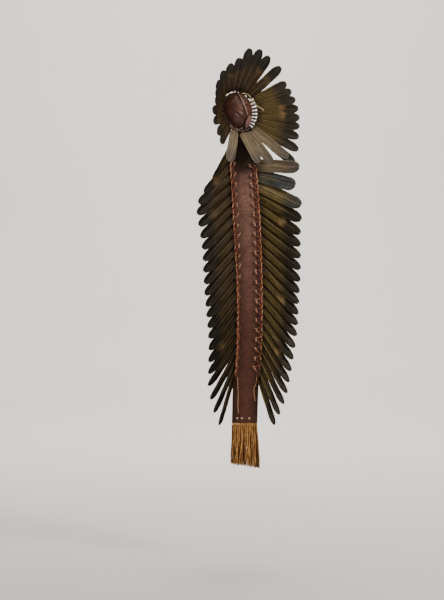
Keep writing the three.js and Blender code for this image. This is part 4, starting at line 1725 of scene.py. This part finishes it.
    def add_knot(self, mesher: Mesher, middle: np.ndarray, index: int) -> None:
        """Adds a small pale knot over a bend of the lace.

        Args:
            mesher: the mesh.
            middle: the bend.
            index: number of the bend, which varies the knot.
        """
        size = self.thong * (0.86 + 0.2 * math.sin(index * 2.1))
        angles = np.linspace(0, 3.6 * math.pi, 22) + index * 1.3
        slant = self.side.value * (0.35 + 0.25 * math.sin(index * 1.7))
        down = np.linspace(-1.9, 1.9, len(angles)) * size
        coil = np.stack([np.cos(angles) * size * 0.8 - slant * down,
                         -size * 0.35 - np.sin(angles) * size * 0.5,
                         down + np.sin(angles) * size * 0.35], 1)
        mesher.add_tube(middle + coil, self.thong * 0.4, 6, 2, (index * 0.137) % 1)

    def add_twist(self, mesher: Mesher, path: np.ndarray, radius: float, pitch: float,
                  seed: float, slots: tuple[int, int] = (0, 0)) -> None:
        """Adds a thong of two strands twisted round each other.

        Args:
            mesher: the mesh.
            path: points of the thong's middle.
            radius: the thong's radius.
            pitch: length of one twist, in diameters.
            seed: number of the first strand.
            slots: number of each strand's material slot.
        """
        along = np.gradient(path, axis=0)
        steps = np.linalg.norm(along, axis=1)
        along /= steps[:, None]
        out = np.array([0.0, -1.0, 0.0])
        first = out - along * (along @ out)[:, None]
        first /= np.linalg.norm(first, axis=1, keepdims=True)
        second = np.cross(along, first)
        angle = np.cumsum(steps) / (pitch * 4 * radius) * 2 * math.pi
        for strand, slot in enumerate(slots):
            turn = angle + strand * math.pi
            wound = np.cos(turn)[:, None] * first + np.sin(turn)[:, None] * second
            offset = radius * 0.46 * wound
            mesher.add_tube(path + offset, radius * 0.58, 6, slot, seed + strand * 0.23)


@dataclass(frozen=True)
class TailStep:
    """A place on a loose end: side in shares of the band's half width, fall of its length."""

    side: float
    fall: float


@dataclass
class LaceTail:
    """Loose end of a lace, lying down the band's face."""

    row: FeatherRow
    length: float
    route: tuple[TailStep, ...]
    diameter: float = 1.1 * MM

    def build(self, finishes: Finishes) -> bpy.types.Object:
        """Builds the loose end as a cord.

        Args:
            finishes: the headdress's materials.

        Returns:
            The cord's curve.
        """
        row, band = self.row, self.row.band
        top = row.lace_point(1.0, row.thong_end)
        top[2] -= row.thong / 2 + SEAT_GAP
        points = [top]
        for step in self.route:
            drop = (band.top - top[2] + step.fall * self.length) / band.length
            points.append(band.point(drop, step.side, SEAT_GAP + self.diameter / 2))
        line = spline(np.array(points), 22)
        data = bpy.data.curves.new(f"lace_tail_{row.name}_look", "CURVE")
        data.dimensions = "3D"
        data.bevel_depth = self.diameter / 2
        data.bevel_resolution = 3
        data.use_fill_caps = True
        strand = data.splines.new("POLY")
        strand.points.add(len(line) - 1)
        for point, place in zip(strand.points, line):
            point.co = (*place, 1.0)
            point.radius = 1.0
        data.materials.append(finishes.edging if row.side is Side.RIGHT else finishes.knot)
        piece = bpy.data.objects.new(data.name, data)
        bpy.context.scene.collection.objects.link(piece)
        settle(piece, "thong", f"lace_tail_{row.name}")
        return piece


@dataclass
class Studs:
    """Small domed studs above the foot of the band."""

    band: Band
    radius: float = 1.6 * MM
    height: float = 1.1 * MM
    rise: float = 7 * MM
    places: tuple[tuple[str, float], ...] = (
        ("stud_left", -0.6), ("stud_middle", -0.24), ("stud_right", 0.34))

    def build(self, finishes: Finishes) -> None:
        """Builds each stud with a rolled rim.

        Args:
            finishes: the headdress's materials.
        """
        profile = [(0.9, 0.0), (1.0, 0.1), (0.98, 0.24), (0.84, 0.3), (0.8, 0.42), (0.68, 0.7),
                   (0.45, 0.92), (0.2, 1.0)]
        for name, side in self.places:
            seat = self.band.point(1 - self.rise / self.band.length, side, SEAT_GAP)
            path = np.array([seat + np.array([0.0, -height * self.height, 0.0])
                             for _, height in profile])
            radii = np.array([share * self.radius for share, _ in profile])
            mesher = Mesher()
            mesher.add_tube(path, radii, 20, 0, side, up=np.array([0.0, 0.0, 1.0]))
            settle(mesher.to_object(f"{name}_look", [finishes.stud]), "stud", name)


@dataclass
class Fringe:
    """Cut strands that hang from a stitched header under the band.

    The cut slopes by cut_slope from right to left and is ragged by cut_ragged. Of the light
    strands, a crossing_share crosses its neighbours by up to crossing to either side.
    """

    band: Band
    length: float = 70 * MM
    thickness: float = 5.5 * MM
    header: float = 4.5 * MM
    flare: float = 3 * MM
    strands: int = 117
    strand: float = 1.35 * MM
    cut_slope: float = 6.5 * MM
    cut_ragged: float = 2.5 * MM
    crossing: float = 12 * MM
    crossing_share: float = 0.4
    stitches: int = 26

    def build(self, finishes: Finishes) -> bpy.types.Object:
        """Builds the header and every strand.

        Args:
            finishes: the headdress's materials.

        Returns:
            The fringe.
        """
        chance = np.random.default_rng(11)
        foot = self.band.point(1.0, 0.0, 0.0)
        half = self.band.half(1.0)
        top = foot[2] - SEAT_GAP
        middle = foot[1] + self.thickness / 2
        mesher = Mesher()
        for i in range(self.strands):
            place = (i + chance.uniform(0.1, 0.9)) / self.strands
            layer = i % 3
            shaded = layer < 2 or (i // 3) % 3 == 0
            below = self.header * 0.95 if place < 0.26 else 0.05 * MM
            start = np.array([foot[0] + (place * 2 - 1) * (half - 0.5 * MM),
                              middle + (0.36 - 0.4 * layer) * self.thickness,
                              top - below + 0.2 * MM])
            reach = (self.length - below - self.cut_slope * (1 - place)
                     - chance.uniform(0, self.cut_ragged) - (1.2 * MM if shaded else 0.0))
            drift = (place - 0.4) * 2 * self.flare + chance.normal(0, 0.5 if shaded else 1.0) * MM
            crosses = not shaded and chance.random() < self.crossing_share
            cross = chance.uniform(-self.crossing, self.crossing) if crosses else 0.0
            share = np.linspace(0, 1, 15)
            swing = (0.4 if shaded else 0.9) * MM
            sway = wander(share, chance.random(), 0.8) * swing * share ** 0.7
            depth = wander(share, chance.random(), 0.8) * 0.6 * MM * share
            front = 0.7 * MM * min(abs(cross) / (3 * MM), 1)
            path = np.stack([
                start[0] + drift * share ** 1.4 + cross * share ** 1.2 + sway,
                start[1] + depth - front * share,
                start[2] - reach * share,
            ], 1)
            path[:, 0] = np.clip(path[:, 0], foot[0] - half - 1.5 * MM, foot[0] + half + 3.4 * MM)
            size = self.strand / 2 * chance.uniform(0.7, 1.1) * (1.35 if shaded else 1.0)
            radii = size * (1 - 0.35 * share ** 3)
            mesher.add_tube(path, radii, 6, 2 if shaded else 0, float(chance.random()))
        self.add_header(mesher, foot, half, top, middle)
        piece = mesher.to_object("fringe_look", [finishes.fringe, finishes.edging,
                                                 finishes.fringe_shade])
        return settle(piece, "fringe", "fringe")

    def add_header(self, mesher: Mesher, foot: np.ndarray, half: float, top: float,
                   middle: float) -> None:
        """Adds the rolled header and its row of stitches.

        Args:
            mesher: the mesh.
            foot: middle of the band's lower edge.
            half: half the band's width there.
            top: height of the header's top.
            middle: depth of the fringe's middle.
        """
        columns = np.linspace(-1, 1, 60)
        around = np.linspace(0, 2 * math.pi, 20, endpoint=False)
        grid = np.zeros((len(columns), len(around), 3))
        for i, column in enumerate(columns):
            sag = 0.25 * MM * math.sin(column * 9)
            grid[i, :, 0] = foot[0] + column * (half - 0.3 * MM)
            grid[i, :, 1] = middle - np.cos(around) * self.thickness * 0.46
            grid[i, :, 2] = top + (np.sin(around) - 1) * self.header / 2 + sag + 0.45 * MM
        places = np.stack([np.broadcast_to(np.cos(around), grid.shape[:2]),
                           np.broadcast_to(columns[:, None], grid.shape[:2]),
                           np.full(grid.shape[:2], 0.4)], -1)
        mesher.add_sheet(grid, places, 0.5 * MM, 1, wrap=True)
        front = middle - self.thickness * 0.49
        for i in range(self.stitches):
            x = foot[0] + ((i + 0.5) / self.stitches * 2 - 1) * (half - 1 * MM)
            stitch = np.array([[x - 0.3 * MM, front, top - self.header * 0.35],
                               [x, front - 0.25 * MM, top - self.header * 0.6],
                               [x + 0.3 * MM, front + 0.1 * MM, top - self.header * 0.9]])
            mesher.add_tube(spline(stitch, 6), 0.3 * MM, 5, 0, i / self.stitches)


# Rods


@dataclass(frozen=True)
class RodStep:
    """A place over the cap, in shares of its radius, and the lift off it in millimetres."""

    across: float
    up: float
    lift: float


@dataclass
class Rods:
    """The knobbed rod with its oval pad, and the bare quill, both over the cap."""

    cap: Cap
    rod: float = 1.9 * MM
    quill: float = 2.1 * MM
    pad_width: float = 12.5 * MM
    pad_length: float = 20 * MM
    pad_thickness: float = 3.4 * MM
    pad_across: float = 0.33
    pad_up: float = -0.74
    knobbed_route: tuple[RodStep, ...] = (
        RodStep(-0.15, 0.9, 1.6), RodStep(-0.14, 0.55, 1.6), RodStep(-0.09, 0.15, 1.6),
        RodStep(0.02, -0.18, 1.6), RodStep(0.18, -0.49, 1.7))
    quill_route: tuple[RodStep, ...] = (
        RodStep(0.2, 0.82, 1.4), RodStep(0.42, 0.8, 3.6), RodStep(0.64, 0.66, 6.5),
        RodStep(1.0, 0.28, 11.0), RodStep(1.5, -0.16, 16.0))

    def line(self, route: Sequence[RodStep], diameter: float, count: int) -> np.ndarray:
        """Runs a rod's smooth line over the cap.

        Args:
            route: the places that it passes.
            diameter: the rod's diameter.
            count: how many points the line gets.

        Returns:
            Points of the line.
        """
        points = [self.cap.over(step.across, step.up, step.lift * MM + diameter / 2)
                  for step in route]
        return spline(np.array(points), count)

    def build(self, finishes: Finishes) -> None:
        """Builds both rods and the pad.

        Args:
            finishes: the headdress's materials.
        """
        path = self.line(self.knobbed_route, self.rod, 110)
        share = np.linspace(0, 1, len(path))
        knobs = 1 + 0.13 * np.abs(np.sin(share * math.pi * 7.5)) ** 3 + 0.05 * wander(share, 0.3, 5)
        ends = np.clip(np.minimum(share, 1 - share) / 0.012 + 0.5, 0, 1)
        radii = self.rod / 2 * 0.95 * knobs * ends
        mesher = Mesher()
        mesher.add_tube(path, radii, 12)
        settle(mesher.to_object("knobbed_rod_look", [finishes.rod]), "knobbed_rod", "knobbed_rod")
        path = self.line(self.quill_route, self.quill, 90)
        share = np.linspace(0, 1, len(path))
        radii = self.quill / 2 * (0.86 + 0.14 * share + 0.03 * wander(share, 0.7, 4))
        radii *= np.clip(np.minimum(share / 0.03, (1 - share) / 0.008) + 0.6, 0, 1)
        mesher = Mesher()
        mesher.add_tube(path, radii, 12)
        piece = mesher.to_object("bare_quill_look", [finishes.quill_rod])
        settle(piece, "bare_quill", "bare_quill")
        self.build_pad(finishes)

    def build_pad(self, finishes: Finishes) -> bpy.types.Object:
        """Builds the oval pad, crowned, with a low rolled edge.

        Args:
            finishes: the headdress's materials.

        Returns:
            The pad.
        """
        step, sides = 0.12, 56
        place = self.cap.over(self.pad_across, self.pad_up, 0.0)
        lengthways = unit(self.cap.over(self.pad_across, self.pad_up + step, 0.0)
                          - self.cap.over(self.pad_across, self.pad_up - step, 0.0))
        sideways = unit(self.cap.over(self.pad_across + step, self.pad_up, 0.0)
                        - self.cap.over(self.pad_across - step, self.pad_up, 0.0))
        out = unit(np.cross(sideways, lengthways))
        out = out if out @ self.cap.axis > 0 else -out
        wide = np.cross(lengthways, out)
        centre = place + out * (self.pad_thickness / 2 + SEAT_GAP)
        around = np.linspace(0, 2 * math.pi, sides, endpoint=False)
        rings, places = [], []
        for latitude in np.linspace(-88, 88, 33):
            angle = math.radians(latitude)
            flat = math.cos(angle) ** 0.8
            height = math.copysign(abs(math.sin(angle)) ** 1.15, math.sin(angle))
            dent = 0.12 * math.exp(-((flat - 0.62) / 0.1) ** 2) if latitude > 0 else 0.0
            ring = (centre + flat * (np.outer(np.cos(around) * self.pad_width / 2, wide)
                                     + np.outer(np.sin(around) * self.pad_length / 2, lengthways))
                    + out * (height - dent) * self.pad_thickness / 2)
            rings.append(ring)
            places.append(np.stack([np.cos(around), np.full(sides, flat), np.sin(around)], 1))
        number = np.arange(len(rings) * sides).reshape(-1, sides)
        beside = np.roll(number, -1, axis=1)
        faces = np.stack([number[:-1], beside[:-1], beside[1:], number[1:]], -1).reshape(-1, 4)
        mesher = Mesher()
        ends = [number[0, ::-1].tolist(), number[-1].tolist()]
        mesher.add(np.vstack(rings), np.vstack(places), faces.tolist() + ends, 0)
        return settle(mesher.to_object("rod_pad_look", [finishes.pad]), "rod_pad", "rod_pad")


# Studio


@dataclass(frozen=True)
class Lamp:
    """A square soft light: where it is, what it is aimed at, and its power in watts."""

    name: str
    place: tuple[float, float, float]
    aim: tuple[float, float, float]
    size: float
    power: float
    colour: Colour


@dataclass
class Studio:
    """Camera at the photograph's angle, soft lights and a plain pale sweep.

    Pixel is the size of a pixel of the photograph at the origin, origin_pixel where the origin is
    in it. The sweep runs from its front along the floor and bends up into the wall at the back.
    """

    pixel: float = 1.5 * MM
    image: tuple[int, int] = (444, 600)
    origin_pixel: tuple[float, float] = (236.8, 111.0)
    elevation: float = 2.5
    distance: float = 2.8
    floor: float = -0.68
    front: float = -5.0
    back: float = 3.3
    bend: float = 1.2
    half_width: float = 6.0
    wall_top: float = 5.0
    room_colour: Colour = (0.81, 0.77, 0.72)
    room_light: float = 0.34
    lamps: tuple[Lamp, ...] = (
        Lamp("key", (1.7, -1.5, 1.15), (0.0, 0.0, -0.2), 0.8, 58.0, (1.0, 0.95, 0.88)),
        Lamp("fill", (-1.6, -1.9, 0.3), (0.0, 0.0, -0.2), 1.6, 3.0, (0.92, 0.95, 1.0)),
        Lamp("top", (0.3, 0.4, 1.9), (0.0, 0.0, -0.2), 1.2, 24.0, (1.0, 0.98, 0.95)),
        Lamp("backdrop", (0.0, 1.4, 1.5), (0.0, 3.3, -0.2), 1.6, 74.0, (1.0, 0.98, 0.96)),
    )

    def build(self) -> None:
        """Makes the camera, the lights, the world and the sweep."""
        self.camera()
        self.lights()
        self.sweep()

    def target(self) -> Vector:
        """Returns the point at the middle of the picture."""
        right, down = (size / 2 - at for size, at in zip(self.image, self.origin_pixel))
        return Vector((right * self.pixel, 0.0, -down * self.pixel))

    def camera(self) -> None:
        """Makes the camera, level with the trail's upper half and behind the wearer."""
        data = bpy.data.cameras.new("camera")
        tall = self.image[1] * self.pixel
        data.lens = data.sensor_width / 2 / (tall / 2 / self.distance)
        data.clip_start, data.clip_end = 0.05, 30.0
        camera = bpy.data.objects.new("camera", data)
        angle = math.radians(self.elevation)
        back = Vector((0.0, -math.cos(angle), math.sin(angle)))
        camera.location = self.target() + back * self.distance
        camera.rotation_euler = (-back).to_track_quat("-Z", "Y").to_euler()
        bpy.context.scene.collection.objects.link(camera)
        bpy.context.scene.camera = camera

    def lights(self) -> None:
        """Makes a soft key from the upper right, a weaker fill and a pale world."""
        for lamp in self.lamps:
            data = bpy.data.lights.new(lamp.name, "AREA")
            data.size, data.energy, data.color = lamp.size, lamp.power, lamp.colour
            light = bpy.data.objects.new(lamp.name, data)
            light.location = lamp.place
            aim = Vector(lamp.aim) - Vector(lamp.place)
            light.rotation_euler = aim.to_track_quat("-Z", "Y").to_euler()
            bpy.context.scene.collection.objects.link(light)
        world = bpy.data.worlds.new("room")
        world.use_nodes = True
        background = world.node_tree.nodes["Background"]
        background.inputs["Color"].default_value = (*self.room_colour, 1.0)
        background.inputs["Strength"].default_value = self.room_light
        bpy.context.scene.world = world

    def sweep(self) -> None:
        """Makes the floor that curves up into the backdrop."""
        profile = [(self.front, self.floor)]
        for angle in np.linspace(0, math.pi / 2, 24):
            profile.append((self.back - self.bend * (1 - math.sin(angle)),
                            self.floor + self.bend * (1 - math.cos(angle))))
        profile.append((self.back, self.wall_top))
        points = [(x, y, z) for y, z in profile for x in (-self.half_width, self.half_width)]
        faces = [(i * 2, i * 2 + 1, i * 2 + 3, i * 2 + 2) for i in range(len(profile) - 1)]
        mesh = bpy.data.meshes.new("sweep")
        mesh.from_pydata(points, [], faces)
        mesh.polygons.foreach_set("use_smooth", [True] * len(faces))
        bench = Bench("sweep_paper")
        cloud = bench.noise(bench.position(), 2.0, 2.0)
        paper = bench.ramp(cloud, (0.3, (0.80, 0.765, 0.73)), (0.7, (0.83, 0.795, 0.76)))
        bench.shade(Base_Color=paper, Roughness=0.9)
        mesh.materials.append(bench.material)
        sweep = bpy.data.objects.new("sweep", mesh)
        bpy.context.scene.collection.objects.link(sweep)


def main() -> None:
    """Builds the studio and every piece of the headdress, in order."""
    logging.basicConfig(level=logging.INFO, format="%(name)s %(message)s")
    Studio().build()
    finishes = Finishes()
    band = Band()
    left = FeatherRow(Side.LEFT, band, LEFT_LIES, first_drop=33 * MM, thong_spread=4.6 * MM,
                      thong_end=7.6 * MM, edge_shift=2.4 * MM, knotted=0.55)
    right = FeatherRow(Side.RIGHT, band, RIGHT_LIES, first_drop=51 * MM, thong_spread=7.6 * MM,
                       thong_end=5.4 * MM)
    LaceTail(left, 54 * MM, (TailStep(-0.64, 0.17), TailStep(-0.6, 0.34), TailStep(-0.56, 0.55),
                             TailStep(-0.58, 0.78), TailStep(-0.5, 1.0))).build(finishes)
    LaceTail(right, 36 * MM, (TailStep(0.76, 0.3), TailStep(0.65, 0.46), TailStep(0.65, 0.64),
                              TailStep(0.71, 0.82), TailStep(0.77, 1.0))).build(finishes)
    cap = Cap()
    cap.build(finishes)
    Crown(cap).build(finishes)
    band.build(finishes)
    left.build(finishes)
    right.build(finishes)
    Studs(band).build(finishes)
    Fringe(band).build(finishes)
    Rods(cap).build(finishes)


if __name__ == "__main__":
    main()
